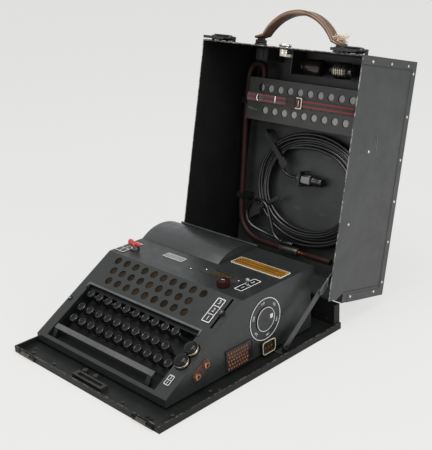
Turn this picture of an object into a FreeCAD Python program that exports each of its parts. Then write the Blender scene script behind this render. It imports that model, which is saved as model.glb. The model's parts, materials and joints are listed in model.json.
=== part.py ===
"""Ten-wheel rotor cipher machine with a lamp field, in its open carrying case.

Millimetres, +X to the right seen from the keyboard, +Y to the back, +Z up.
The origin is the middle of the base tray's underside.
"""
import FreeCAD, Part
import math
import os
import Sketcher

doc = FreeCAD.newDocument("CipherMachine")

# ---------------------------------------------------------------- driving dimensions

SIZES = {
    # base tray
    "tray_floor": 2.0,
    "tray_rim": 10.0,
    "rim_wall": 2.0,
    "rear_wall_rise": 41.0,
    "rear_flange": 12.5,
    "rear_wall_inset": 2.7,
    "gap_front": 38.3,
    "gap_rear": 26.2,
    "gap_left": 3.0,
    "gap_right": 30.0,
    "catch_wide": 41.0,
    "catch_inset": 31.0,
    "keeper_wide": 64.0,
    "keeper_deep": 12.0,
    "keeper_tall": 6.0,
    "keeper_setback": 8.0,
    "keeper_edge": 6.0,
    "keeper_post_radius": 4.0,
    "floor_screw_radius": 2.6,
    "floor_screw_tall": 1.2,
    "catch_thick": 1.5,
    "catch_lip": 2.0,
    "catch_low": 4.0,
    "catch_tall": 2.5,
    "foot_radius": 8.0,
    "foot_rise": 4.0,
    "foot_inset": 22.0,
    # case hinge
    "knuckle_radius": 2.5,
    "case_pin_radius": 1.0,
    "knuckle_gap": 0.3,
    "hinge_wide": 280.0,
    "leaf_tall": 14.0,
    "leaf_thick": 1.5,
    "running_gap": 0.1,
    "side_gap": 0.5,
    # machine housing
    "shell_wall": 1.5,
    "lip_rise": 16.8,
    "slope_angle": 30.4,
    "band_depth": 67.7,
    "bay_depth": 86.0,
    "overhang": 8.0,
    "overhang_drop": 14.0,
    "border_left": 19.0,
    "border_right": 26.5,
    # keyboard
    "column_pitch": 20.9,
    "end_margin": 16.25,
    "opening_front": 5.5,
    "opening_depth": 99.5,
    "row_front": 46.0,
    "row_step_low": 20.8,
    "row_step_high": 24.7,
    "first_key": 16.8,
    "key_stagger": 2.8,
    "key_radius": 6.3,
    "key_cap_tall": 4.0,
    "key_level": 1.0,
    "key_travel": 5.0,
    "stem_wide": 7.0,
    "stem_thick": 2.4,
    "slot_gap": 0.5,
    "deck_wall": 2.0,
    "deck_depth": 24.0,
    "deck_front_depth": 9.0,
    "deck_fold": 36.0,
    "bead_wide": 3.0,
    "bead_tall": 1.6,
    "bead_return": 8.0,
    "ledge_deep": 5.0,
    "ledge_level": 6.0,
    "bar_setback": 20.0,
    "bar_deep": 8.0,
    "bar_thick": 2.0,
    "bar_apron": 6.0,
    "bar_left": 3.0,
    "bar_right": 19.5,
    "stem_below": 4.0,
    "rear_stem_wide": 12.0,
    "skirt_radius": 4.7,
    "skirt_clear": 2.0,
    "function_key_radius": 10.4,
    "function_key_tall": 8.0,
    "function_key_level": 11.0,
    "dome_side": 4.4,
    "dome_edge": 1.0,
    "dome_shoulder": 1.6,
    "dome_crown": 4.2,
    "dome_crown_drop": 0.4,
    "function_key_front": 55.0,
    "function_key_pitch": 21.0,
    "function_key_out": 10.6,
    "function_hole_gap": 1.1,
    # lamp field
    "lamp_gap": 17.1,
    "lamp_row_pitch": 18.35,
    "lamp_inset": 11.3,
    "first_lamp": 14.2,
    "lamp_stagger": 6.7,
    "lamp_radius": 6.5,
    "film_thick": 1.2,
    "bulb_radius": 4.0,
    "bulb_tall": 20.0,
    "board_drop": 30.0,
    "board_margin": 9.0,
    "post_radius": 2.5,
    "bulb_base_radius": 3.0,
    "board_thick": 2.0,
    # rotor bay
    "cover_wide": 173.0,
    "cover_rise": 14.3,
    "cover_wall": 1.5,
    "cover_knuckle": 2.0,
    "cover_pin_radius": 0.9,
    "cover_ear": 8.0,
    "seat_gap": 0.2,
    "bay_edge": 6.0,
    "rotor_radius": 36.0,
    "rotor_rise": 8.0,
    "rotor_from_rear": 38.0,
    "rotor_gap": 2.0,
    "rotor_hub_radius": 14.0,
    "rotor_rim_step": 3.0,
    "rotor_shaft_radius": 4.0,
    "bearing_thick": 2.0,
    "bearing_inset": 3.5,
    "bearing_half": 30.0,
    "gear_radius": 22.0,
    "gear_thick": 5.0,
    "gear_offset": 5.0,
    "bank_deep": 30.0,
    "bank_tall": 22.0,
    "motor_radius": 22.0,
    "motor_long": 70.0,
    "motor_shaft_radius": 3.0,
    "motor_from_bay": 26.0,
    "cradle_tall": 6.0,
    "transformer_wide": 60.0,
    "transformer_deep": 42.0,
    "transformer_tall": 46.0,
    "transformer_core": 14.0,
    # controls on the top plate and the slope
    "plate_thick": 0.8,
    "reset_from_opening": 26.5,
    "reset_from_crease": 17.5,
    "toggle_from_opening": 1.5,
    "toggle_from_crease": 41.0,
    "toggle_label_wide": 15.5,
    "toggle_label_long": 43.0,
    "lever_from_opening": 9.0,
    "lever_from_crease": 28.5,
    "lever_label_wide": 22.5,
    "lever_label_long": 42.0,
    "counter_from_opening": 91.5,
    "counter_from_crease": 33.5,
    "counter_wide": 75.0,
    "counter_deep": 20.0,
    "counter_edge": 15.0,
    "counter_window": 39.0,
    "name_plate_left": 76.0,
    "name_plate_wide": 43.0,
    "name_plate_deep": 15.0,
    "name_plate_from_crease": 37.5,
    "yellow_from_opening": 80.5,
    "yellow_from_seam": 18.5,
    "yellow_wide": 99.0,
    "yellow_deep": 25.0,
    "label_gap": 2.5,
    "slope_label_wide": 15.5,
    "slope_label_long": 42.0,
    "small_label_wide": 10.5,
    "small_label_long": 16.0,
    "reset_radius": 9.5,
    "reset_tall": 11.0,
    "toggle_ball_radius": 3.2,
    "toggle_stem_radius": 1.6,
    "toggle_tip_radius": 3.4,
    "toggle_tall": 9.0,
    "wing_long": 25.0,
    "wing_thick": 7.0,
    "wing_tall": 8.0,
    "lever_skirt_radius": 7.5,
    "lever_skirt_tall": 7.0,
    "knob_lift": 0.3,
    "shaft_below": 8.0,
    "control_shaft_radius": 2.5,
    "slider_slot_long": 52.0,
    "slider_slot_wide": 4.0,
    "slider_radius": 5.0,
    "slider_tall": 6.0,
    "slider_neck_radius": 1.8,
    "slider_offset": 1.0,
    "slider_inset": 3.0,
    "slider_flange_radius": 4.5,
    # right-hand panel
    "dial_ring_radius": 31.8,
    "dial_radius": 18.3,
    "dial_thick": 4.0,
    "dial_rise": 58.7,
    "dial_from_crease": 44.0,
    "dial_ring_inner": 20.0,
    "dial_ring_thick": 1.0,
    "dial_grip_tall": 5.0,
    "dial_grip_wide": 7.0,
    "inlet_wide": 27.0,
    "inlet_tall": 20.0,
    "inlet_thick": 6.0,
    "inlet_from_crease": 32.0,
    "inlet_wall": 2.5,
    "inlet_pin_radius": 2.0,
    "multipole_wide": 52.5,
    "multipole_tall": 31.0,
    "multipole_thick": 6.0,
    "multipole_from_crease": 37.0,
    "multipole_rise": 9.0,
    "multipole_pin_radius": 1.5,
    "multipole_recess": 3.5,
    "twin_pitch": 19.8,
    "twin_radius": 6.5,
    "twin_thick": 5.0,
    "twin_from_lip": 55.3,
    "twin_rise": 27.9,
    "socket_hole_radius": 2.0,
    # carrying-case lid
    "lid_wall": 1.5,
    "lid_open_angle": 102.5,
    "strip_wide": 12.5,
    "notch_low_deep": 7.5,
    "notch_deep": 14.5,
    "notch_fold": 29.0,
    "strip_thick": 0.8,
    "stow_room": 32.4,
    "lid_seat": 0.3,
    "latch_wide": 44.0,
    "latch_thick": 2.0,
    "latch_pivot_up": 16.0,
    "latch_stand_off": 5.0,
    "latch_hook": 4.2,
    "latch_hook_low": 1.2,
    "ear_thick": 2.0,
    "ear_pin_radius": 1.2,
    "handle_half": 79.0,
    "handle_arch": 54.0,
    "handle_thick": 8.0,
    "handle_wide": 22.0,
    "handle_rise": 62.0,
    "handle_stand_off": 5.5,
    "handle_root": 12.0,
    "handle_neck": 7.2,
    "handle_tab_wide": 20.0,
    "handle_tab_tall": 8.0,
    "loop_radius": 3.0,
    "loop_long": 14.0,
    "lock_radius": 8.0,
    "lock_long": 14.0,
    "lock_out": 2.0,
    "lock_rise": 30.0,
    # stay
    "arm_long": 97.0,
    "stay_wide": 9.0,
    "stay_foot_wide": 12.0,
    "stay_thick": 2.0,
    "stay_pin_radius": 2.0,
    "arm_pivot_rise": 13.0,
    "arm_pivot_from_rear": 114.5,
    "stay_from_right": 12.0,
    "link_pivot_rise": 20.0,
    "link_pivot_from_rear": 43.5,
    "elbow_rise": 1.0,
    # remote lamp panel in the lid
    "panel_deep": 44.0,
    "panel_tall": 71.0,
    "panel_from_front": 50.5,
    "panel_from_left": 24.5,
    "panel_margin_left": 29.0,
    "panel_margin_right": 7.0,
    "panel_row_inset": 16.0,
    "panel_face_wall": 1.5,
    "strap_wide": 14.0,
    "strap_thick": 2.0,
    "strap_from_front": 85.5,
    "buckle_from_left": 105.0,
    "soft_gap": 0.3,
    # mains lead and lamp cable
    "coil_outer": 98.0,
    "coil_inner": 67.0,
    "coil_thick": 12.0,
    "coil_off_x": -18.0,
    "coil_stretch": 36.0,
    "coil_from_front": 225.5,
    "coil_stand_off": 8.0,
    "lead_diameter": 5.6,
    "plug_radius": 11.0,
    "plug_long": 56.0,
    "plug_nose_long": 21.0,
    "plug_nose_radius": 8.8,
    "plug_from_coil_x": -12.0,
    "plug_from_coil_y": -15.0,
    "plug_clip_from": 11.0,
    "plug_clip_wide": 4.0,
    "cable_diameter": 10.5,
    "gland_radius": 7.0,
    "gland_long": 38.0,
    "neck_long": 18.0,
    "sleeve_radius": 4.2,
    "sleeve_long": 24.0,
    "sleeve_off": 9.8,
    "connector_long": 50.0,
    "hook_wide": 9.0,
    "hook_thick": 1.6,
    "hook_reach_in": 44.0,
    "hook_reach_out": 122.0,
    "hook_foot": 5.0,
    "hook_short_in": 90.0,
    "hook_root_in": 95.0,
    "hook_root_wide": 20.0,
    "hook_thin_wide": 6.0,
    "hook_flap_out": 60.0,
    "hook_flap_wide": 15.0,
    "stow_from_front": 23.5,
    "stow_drop": 22.5,
    "adapter_from_middle": 18.0,
    "adapter_radius": 13.0,
    "adapter_long": 46.0,
    "adapter_neck_radius": 4.0,
    "adapter_neck_long": 8.0,
    "adapter_shoulder": 3.0,
    "adapter_tip_radius": 9.0,
    "spare_plug_from_middle": 38.0,
    "spare_plug_radius": 13.5,
    "spare_plug_long": 42.0,
    "spare_neck_radius": 5.0,
    "spare_flange_radius": 8.0,
    "spare_flange_long": 3.0,
    "partition_from_middle": 54.0,
    "partition_thick": 2.0,
    "partition_deep": 38.0,
    "partition_tall": 36.0,
    "pocket_wall": 1.5,
    "spare_from_left": 32.0,
    "bracket_wide": 26.0,
    "bracket_deep": 20.0,
    "bracket_tall": 44.0,
}

COLUMNS = 10
ROTORS = 10
LAMP_ROWS = (COLUMNS, COLUMNS - 1, COLUMNS - 1)

sheet = doc.addObject("Spreadsheet::Sheet", "Sizes")
for row, (alias, value) in enumerate(SIZES.items(), start=1):
    sheet.set(f"A{row}", alias)
    sheet.set(f"B{row}", str(value))
    sheet.setAlias(f"B{row}", alias)

# Places that follow from the driving dimensions.
LAYOUT = {
    "slope_cos": "cos(slope_angle * 1deg)",
    "slope_sin": "sin(slope_angle * 1deg)",
    "opening_rear": "opening_front + opening_depth",
    "slope_long": "opening_rear + lamp_gap + 2 * lamp_row_pitch + lamp_inset",
    "slope_run": "slope_long * slope_cos",
    "top_rise": "lip_rise + slope_long * slope_sin",
    "opening_wide": f"{COLUMNS} * column_pitch + 2 * end_margin",
    "house_wide": "border_left + opening_wide + border_right",
    "tray_wide": "gap_left + house_wide + gap_right",
    "tray_deep": "gap_front + slope_run + band_depth + bay_depth + gap_rear",
    "tray_left": "-tray_wide / 2",
    "tray_right": "tray_wide / 2",
    "tray_front": "-tray_deep / 2",
    "tray_rear": "tray_deep / 2",
    "house_left": "tray_left + gap_left",
    "house_right": "house_left + house_wide",
    "lip_y": "tray_front + gap_front",
    "crease_y": "lip_y + slope_run",
    "seam_y": "crease_y + band_depth",
    "rear_y": "seam_y + bay_depth",
    "opening_left": "house_left + border_left",
    "opening_right": "opening_left + opening_wide",
    "function_key_x": "opening_right + function_key_out",
    "lamp_last_row": "slope_long - lamp_inset",
    "slider_x": "function_key_x + slider_offset",
    "slider_mid": "slope_long - slider_slot_long / 2 - slider_inset",
    "hinge_y": "tray_rear",
    "hinge_z": "rear_wall_rise",
    "house_base": "tray_floor + foot_rise",
    "chassis_top": "house_base + board_thick",
    "cover_chord": "bay_depth - 2 * side_gap",
    "cover_radius": "((cover_chord / 2)^2 + cover_rise^2) / (2 * cover_rise)",
    "cover_mid_y": "seam_y + side_gap + cover_chord / 2",
    "cover_base": "top_rise + seat_gap",
    "cover_right": "house_left + cover_wide",
    "cover_third": "cover_wide / 3",
    "cover_hinge_y": "rear_y + cover_knuckle",
    "cover_hinge_z": "top_rise + cover_knuckle",
    "bay_left": "house_left + shell_wall + bearing_inset",
    "bay_right": "cover_right - shell_wall - bearing_inset",
    "rotor_y": "rear_y - overhang - shell_wall - rotor_from_rear",
    "rotor_z": "top_rise + rotor_rise - rotor_radius",
    "motor_z": "chassis_top + cradle_tall + motor_radius",
    "rotor_pitch": f"(bay_right - bay_left - 2 * bearing_thick - rotor_gap) / {ROTORS}",
    "lid_top": "top_rise + cover_rise + stow_room + lid_wall",
    "lid_inside": "lid_top - lid_wall",
    "lid_rim": "tray_rim + lid_seat",
    "lid_front_out": "tray_front + strip_thick",
    "lid_front_in": "lid_front_out + lid_wall",
    "lid_rear_in": "tray_rear - lid_wall",
    "lid_left_in": "tray_left + strip_thick + lid_wall",
    "lid_right_in": "tray_right - strip_thick - lid_wall",
    "lid_cos": "cos(lid_open_angle * 1deg)",
    "lid_sin": "sin(lid_open_angle * 1deg)",
    "handle_pivot_y": "tray_front - handle_stand_off",
    "handle_radius": "(handle_half^2 + handle_arch^2) / (2 * handle_arch)",
    "latch_pivot_y": "tray_front - latch_stand_off",
    "latch_pivot_z": "lid_rim + latch_pivot_up",
    "panel_left": "lid_left_in + panel_from_left",
    "lamp_span": f"{COLUMNS - 1} * column_pitch",
    "panel_right": "panel_left + panel_margin_left + lamp_span + panel_margin_right",
    "panel_front": "lid_front_in + panel_from_front",
    "panel_face": "lid_inside - panel_deep",
    "coil_y": "tray_front + coil_from_front",
    "coil_z": "lid_inside - coil_thick - coil_stand_off",
    "plug_z": "lid_inside - plug_radius - soft_gap",
    "strap_y": "tray_front + strap_from_front",
    "arm_x": "tray_right - stay_from_right",
    "link_x": "arm_x + stay_thick + side_gap",
    "arm_pivot_y": "tray_rear - arm_pivot_from_rear",
    "link_pivot_y": "tray_rear - link_pivot_from_rear",
    "link_open_y": "hinge_y + (link_pivot_y - hinge_y) * lid_cos + (link_pivot_rise - hinge_z) * lid_sin",
    "link_open_z": "hinge_z - (link_pivot_y - hinge_y) * lid_sin + (link_pivot_rise - hinge_z) * lid_cos",
    "stay_span": "sqrt((link_open_y - arm_pivot_y)^2 + (link_open_z - arm_pivot_rise)^2)",
    "stay_angle": "atan2(link_open_z - arm_pivot_rise; link_open_y - arm_pivot_y)",
    "link_long": "sqrt((stay_span - sqrt(arm_long^2 - elbow_rise^2))^2 + elbow_rise^2)",
    "arm_angle": "stay_angle + asin(elbow_rise / arm_long)",
    "link_angle": "stay_angle - asin(elbow_rise / link_long)",
    "elbow_y": "arm_pivot_y + arm_long * cos(arm_angle)",
    "elbow_z": "arm_pivot_rise + arm_long * sin(arm_angle)",
}


def named(formula, own="Layout."):
    """Puts each sheet's name in front of the aliases that a formula uses."""
    text = ""
    word = ""
    for char in str(formula) + " ":
        if char.isalnum() or char == "_":
            word += char
            continue
        if word in SIZES:
            word = "Sizes." + word
        elif word in LAYOUT:
            word = own + word
        text += word + char
        word = ""
    return text.strip()


layout = doc.addObject("Spreadsheet::Sheet", "Layout")
for row, (alias, formula) in enumerate(LAYOUT.items(), start=1):
    layout.set(f"A{row}", alias)
    layout.set(f"B{row}", "=" + named(formula, own=""))
    layout.setAlias(f"B{row}", alias)
doc.recompute()


def size(formula):
    """What a formula of the sheets' aliases gives now, as a plain number."""
    return float(sheet.evalExpression(named(formula)))


# ---------------------------------------------------------------- building blocks

def place(feature, x, y, z):
    """Binds a feature's position to formulas."""
    for axis, formula in zip("xyz", (x, y, z)):
        feature.setExpression(f"Placement.Base.{axis}", named(formula))
    return feature


def box(name, x, y, z, wide, deep, tall):
    """A block from its lowest corner."""
    feature = doc.addObject("Part::Box", name)
    for prop, formula in (("Length", wide), ("Width", deep), ("Height", tall)):
        feature.setExpression(prop, named(formula))
    return place(feature, x, y, z)


TURN = {
    "x": FreeCAD.Rotation(FreeCAD.Vector(0, 1, 0), 90),
    "y": FreeCAD.Rotation(FreeCAD.Vector(1, 0, 0), -90),
    "z": FreeCAD.Rotation(),
}


def rod(name, axis, x, y, z, radius, length):
    """A round bar that starts at a point and runs along an axis."""
    feature = doc.addObject("Part::Cylinder", name)
    feature.Placement = FreeCAD.Placement(FreeCAD.Vector(), TURN[axis])
    feature.setExpression("Radius", named(radius))
    feature.setExpression("Height", named(length))
    return place(feature, x, y, z)


def ball(name, x, y, z, radius):
    """A sphere about a point."""
    feature = doc.addObject("Part::Sphere", name)
    feature.setExpression("Radius", named(radius))
    return place(feature, x, y, z)


def fuse(name, *parts):
    """Several overlapping forms made into one solid."""
    feature = doc.addObject("Part::MultiFuse", name)
    feature.Shapes = list(parts)
    feature.Refine = True
    return feature


def cut(name, base, *tools):
    """A form with others taken away."""
    feature = doc.addObject("Part::Cut", name)
    feature.Base = base
    feature.Tool = tools[0] if len(tools) == 1 else fuse(name + "_tools", *tools)
    feature.Refine = True
    return feature


def common(name, first, second):
    """What two forms share."""
    feature = doc.addObject("Part::Common", name)
    feature.Base = first
    feature.Tool = second
    feature.Refine = True
    return feature


def group(name, *parts):
    """Separate solids that belong to one sub-part."""
    feature = doc.addObject("Part::Compound", name)
    feature.Links = list(parts)
    return feature


def outline(name, plane, corners):
    """A PartDesign body with a closed sketch through corners given as pairs of formulas."""
    body = doc.addObject("PartDesign::Body", name)
    sketch = body.newObject("Sketcher::SketchObject", name + "_sketch")
    face = next(f for f in body.Origin.OriginFeatures if f.Role == plane)
    sketch.AttachmentSupport = [(face, "")]
    sketch.MapMode = "FlatFace"
    formulas = [(named(a), named(b)) for a, b in corners]
    points = [(size(a), size(b)) for a, b in corners]
    count = len(points)
    for i, (here, there) in enumerate(zip(points, points[1:] + points[:1])):
        sketch.addGeometry(Part.LineSegment(FreeCAD.Vector(*here, 0), FreeCAD.Vector(*there, 0)), False)
    for i in range(count):
        sketch.addConstraint(Sketcher.Constraint("Coincident", i, 2, (i + 1) % count, 1))
    for i, pair in enumerate(formulas):
        for kind, formula, value in zip(("DistanceX", "DistanceY"), pair, points[i]):
            number = sketch.addConstraint(Sketcher.Constraint(kind, -1, 1, i, 1, value))
            sketch.setExpression(f"Constraints[{number}]", formula)
    return body, sketch


def prism(name, corners, x, wide):
    """A side profile, given as (y, z) corners, made wide mm thick from x."""
    body, sketch = outline(name, "YZ_Plane", corners)
    pad = body.newObject("PartDesign::Pad", name + "_pad")
    pad.Profile = sketch
    pad.setExpression("Length", named(wide))
    return place(body, x, 0, 0)


def turned(name, corners, x, y, z, axis="z"):
    """A turned piece: its half section, as (radius, height) corners, revolved about an axis."""
    body, sketch = outline(name, "XZ_Plane", corners)
    revolution = body.newObject("PartDesign::Revolution", name + "_turn")
    revolution.Profile = sketch
    revolution.ReferenceAxis = (sketch, ["V_Axis"])
    revolution.Angle = 360
    body.Placement = FreeCAD.Placement(FreeCAD.Vector(), TURN[axis])
    return place(body, x, y, z)


NODES = []


def sub_part(label, feature):
    """Marks a finished feature as a sub-part and names its file."""
    feature.Label = label
    NODES.append(feature)
    return feature


def turn(feature, axis, angle, x, y, z):
    """Turns a form by an angle about an axis through its own origin, then moves it."""
    feature.Placement = FreeCAD.Placement(FreeCAD.Vector(), FreeCAD.Rotation(FreeCAD.Vector(*axis), 1))
    feature.setExpression("Placement.Rotation.Angle", named(angle))
    return place(feature, x, y, z)


def on_slope(feature):
    """Lays a form built on (x, up the slope, out of the slope) onto the sloping front."""
    return turn(feature, (1, 0, 0), "slope_angle * 1deg", 0, "lip_y", "lip_rise")


def on_lid(feature):
    """Swings a form built with the lid shut to where the open lid holds it."""
    return turn(
        feature, (-1, 0, 0), "lid_open_angle * 1deg", 0,
        "hinge_y * (1 - lid_cos) - hinge_z * lid_sin",
        "hinge_z * (1 - lid_cos) + hinge_y * lid_sin",
    )


# ---------------------------------------------------------------- base tray

HINGE_SEGMENTS = 5
HINGE_START = "(-hinge_wide / 2)"
SEGMENT = f"hinge_wide / {HINGE_SEGMENTS}"


def case_knuckle(index, side):
    """One barrel of the case hinge with its leaf, below the pin on the tray or above it on the lid."""
    name = f"{side}_knuckle_{index}"
    start = f"{HINGE_START} + {index} * {SEGMENT} + side_gap / 2"
    length = f"{SEGMENT} - side_gap"
    barrel = rod(name + "_barrel", "x", start, "hinge_y", "hinge_z", "knuckle_radius", length)
    low = "hinge_z - leaf_tall" if side == "tray" else "hinge_z"
    leaf = box(name + "_leaf", start, "tray_rear - rim_wall / 2", low,
               length, "rim_wall / 2 + leaf_thick", "leaf_tall")
    return [barrel, leaf]


def base_tray():
    """Pressed tray with a low rim, a tall rear wall with turned-in ends, and its half of the case hinge."""
    block = box("tray_block", "tray_left", "tray_front", 0, "tray_wide", "tray_deep", "tray_rim")
    room = box(
        "tray_room", "tray_left + rim_wall", "tray_front + rim_wall", "tray_floor",
        "tray_wide - 2 * rim_wall", "tray_deep - 2 * rim_wall", "tray_rim",
    )
    pan = cut("tray_pan", block, room)
    wall_left = "tray_left + rear_wall_inset"
    wall = box("tray_rear_wall", wall_left, "tray_rear - rim_wall", 0,
               "tray_wide - 2 * rear_wall_inset", "rim_wall", "rear_wall_rise - knuckle_gap")
    recess = box("tray_hinge_recess", f"{HINGE_START} - side_gap", "tray_rear - 2 * rim_wall",
                 "hinge_z - knuckle_radius - knuckle_gap", "hinge_wide + 2 * side_gap",
                 "4 * rim_wall", "2 * knuckle_radius")
    ends = []
    for name, x in (("left", wall_left), ("right", "tray_right - rear_wall_inset - rim_wall")):
        ends.append(box(f"tray_{name}_flange", x, "tray_rear - rear_flange", 0,
                        "rim_wall", "rear_flange", "rear_wall_rise - knuckle_gap"))
    knuckles = []
    for index in range(0, HINGE_SEGMENTS, 2):
        knuckles += case_knuckle(index, "tray")
    pin = rod("case_pin", "x", HINGE_START, "hinge_y", "hinge_z", "case_pin_radius", "hinge_wide")
    sub_part("base_tray", fuse("tray_body", pan, cut("tray_wall", wall, recess), *ends, *knuckles, pin))


FLOOR_SCREWS = (
    ("tray_left + 79", "tray_front + 14"),
    ("tray_left + 28", "tray_front + 14"),
    ("tray_left + 20", "tray_front + 22"),
    ("tray_right - 87", "tray_front + 14"),
    ("tray_right - 38", "tray_front + 14"),
    ("tray_right - 30", "tray_front + 14"),
    ("tray_right - 15", "tray_front + 36"),
    ("tray_right - 20", "tray_front + 108"),
    ("tray_right - 12", "tray_front + 118"),
)


def catch(side, x):
    """A hook strip on the front rim that a case latch grips."""
    plate = box(f"catch_{side}_plate", x, "tray_front - catch_thick", "catch_tall / 2",
                "catch_wide", "catch_thick", "tray_rim - catch_tall")
    lip = box(f"catch_{side}_lip", x, "tray_front - catch_thick - catch_lip", "catch_low",
              "catch_wide", "catch_thick / 2 + catch_lip", "catch_tall")
    return fuse(f"catch_{side}", plate, lip)


def stay_bracket():
    """Floor bracket with the pin that the stay's arm turns on."""
    lug_x = "arm_x - side_gap - rim_wall"
    foot = box("stay_foot", "arm_x - side_gap - stay_foot_wide", "arm_pivot_y - stay_wide", "tray_floor",
               "stay_foot_wide", "2 * stay_wide", "rim_wall")
    lug = box("stay_lug", lug_x, "arm_pivot_y - stay_wide / 2", "tray_floor",
              "rim_wall", "stay_wide", "arm_pivot_rise - tray_floor + stay_wide / 2")
    pin = rod("stay_floor_pin", "x", lug_x, "arm_pivot_y", "arm_pivot_rise",
              "stay_pin_radius", "rim_wall + stay_thick + 3 * side_gap")
    return fuse("stay_bracket", foot, lug, pin)


def tray_fittings():
    """Latch catches, lock keeper, screws, rubber feet and the stay's bracket."""
    pieces = [
        catch("left", "tray_left + catch_inset - catch_wide / 2"),
        catch("right", "tray_right - catch_inset - catch_wide / 2"),
        stay_bracket(),
    ]
    keeper_y = "tray_front + rim_wall + keeper_setback"
    keeper = box("keeper_block", "-keeper_wide / 2", keeper_y, "tray_floor",
                 "keeper_wide", "keeper_deep", "keeper_tall")
    groove = box("keeper_groove", "-keeper_wide / 2 + keeper_edge", f"{keeper_y} + keeper_edge / 2",
                 "tray_floor + keeper_tall / 3", "keeper_wide - 2 * keeper_edge",
                 "keeper_deep - keeper_edge", "keeper_tall")
    pieces.append(cut("lock_keeper", keeper, groove))
    for index in range(2):
        post_x = f"-keeper_wide / 2 + keeper_edge + {index} * 4 * keeper_edge"
        pieces.append(rod(f"keeper_post_{index}", "z", post_x, f"{keeper_y} + keeper_deep + keeper_edge",
                          "tray_floor", "keeper_post_radius", "keeper_tall"))
    for index, (x, y) in enumerate(FLOOR_SCREWS):
        pieces.append(rod(f"floor_screw_{index}", "z", x, y, "tray_floor",
                          "floor_screw_radius", "floor_screw_tall"))
    for column, x in enumerate(("house_left + foot_inset", "house_right - foot_inset")):
        for line, y in enumerate(("lip_y + foot_inset", "rear_y - overhang - foot_inset")):
            pieces.append(rod(f"rubber_foot_{column}_{line}", "z", x, y, "tray_floor",
                              "foot_radius", "foot_rise"))
    sub_part("tray_fittings", group("tray_fittings_group", *pieces))


# ---------------------------------------------------------------- keyboard and lamp places

def key_places():
    """Each key's name, its place across and up the slope, and its stem's width."""
    rows = (
        (1, COLUMNS, "row_front + row_step_low + row_step_high", "rear_stem_wide"),
        (2, COLUMNS, "row_front + row_step_low", "stem_wide"),
        (3, COLUMNS + 1, "row_front", "stem_wide"),
    )
    for number, count, up, wide in rows:
        for column in range(count):
            across = f"opening_left + first_key + {number - 1} * key_stagger + {column} * column_pitch"
            yield f"key_{number}_{column + 1:02d}", across, up, wide


def lamp_places(first, top, step):
    """The 28 lamps in three staggered rows, the top row ten wide, a step apart."""
    for line, count in enumerate(LAMP_ROWS):
        for column in range(count):
            across = f"{first} + {line} * lamp_stagger + {column} * column_pitch"
            yield f"{line}_{column}", across, f"{top} + {line} * {step}"


KEYS = list(key_places())
FUNCTION_KEYS = [
    (f"function_key_{name}", "function_key_x",
     f"function_key_front + {index} * function_key_pitch", "stem_wide")
    for index, name in enumerate(("front", "rear"))
]
FIRST_LAMP_X = "opening_left + first_lamp"
FIRST_PANEL_LAMP_X = "panel_left + panel_margin_left"
SLOPE_LAMPS = list(lamp_places(FIRST_LAMP_X, "lamp_last_row", "(-lamp_row_pitch)"))
PANEL_LAMPS = list(lamp_places(FIRST_PANEL_LAMP_X, "panel_front + panel_row_inset", "lamp_row_pitch"))

# The knobs that turn in holes of the top plate.
RESET = ("opening_right - reset_from_opening", "crease_y + reset_from_crease")
TOGGLE = ("opening_right - toggle_from_opening", "crease_y + toggle_from_crease")
LEVER = ("opening_left + lever_from_opening", "crease_y + lever_from_crease")
DIAL_Y = "crease_y + dial_from_crease"


# ---------------------------------------------------------------- machine housing

def house_profile(inset):
    """Side view of the housing, moved in by a wall thickness."""
    return (
        (f"lip_y + {inset}", f"house_base - {inset}"),
        (f"lip_y + {inset}", f"lip_rise - {inset} * tan((90 - slope_angle) * 1deg / 2)"),
        (f"crease_y + {inset} * tan(slope_angle * 1deg / 2)", f"top_rise - {inset}"),
        (f"rear_y - {inset}", f"top_rise - {inset}"),
        (f"rear_y - {inset}", f"top_rise - overhang_drop + {inset}"),
        (f"rear_y - overhang - {inset}", f"top_rise - overhang_drop + {inset}"),
        (f"rear_y - overhang - {inset}", f"house_base - {inset}"),
    )


def function_holes(name, low, deep):
    """The round holes that the two function keys move in."""
    return [
        rod(f"{name}_{key}", "z", across, up, low, "function_key_radius + function_hole_gap", deep)
        for key, across, up, _ in FUNCTION_KEYS
    ]


def slope_openings():
    """Everything that is cut through the sloping front."""
    deep = "4 * shell_wall"
    low = "-2 * shell_wall"
    tools = function_holes("slope_hole", low, deep)
    tools.append(box("keyboard_opening", "opening_left", "opening_front", low,
                     "opening_wide", "opening_depth", deep))
    for name, across, up in SLOPE_LAMPS:
        tools.append(rod(f"window_{name}", "z", across, up, low, "lamp_radius", deep))
    tools.append(box("slider_slot", "slider_x - slider_slot_wide / 2", "slider_mid - slider_slot_long / 2",
                     low, "slider_slot_wide", "slider_slot_long", deep))
    return on_slope(fuse("slope_openings", *tools))


def top_openings():
    """Holes in the top plate for the rotor bay and the control shafts."""
    deep = "4 * shell_wall"
    low = "top_rise - 2 * shell_wall"
    return [
        box("bay_opening", "bay_left + bearing_thick", "seam_y + bay_edge", low,
            "bay_right - bay_left - 2 * bearing_thick", "rotor_y + rotor_radius - seam_y - bay_edge", deep),
        rod("reset_hole", "z", *RESET, low, "control_shaft_radius + running_gap", deep),
        rod("lever_hole", "z", *LEVER, low, "control_shaft_radius + running_gap", deep),
        rod("toggle_hole", "z", *TOGGLE, low, "toggle_ball_radius + running_gap", deep),
    ]


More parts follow.
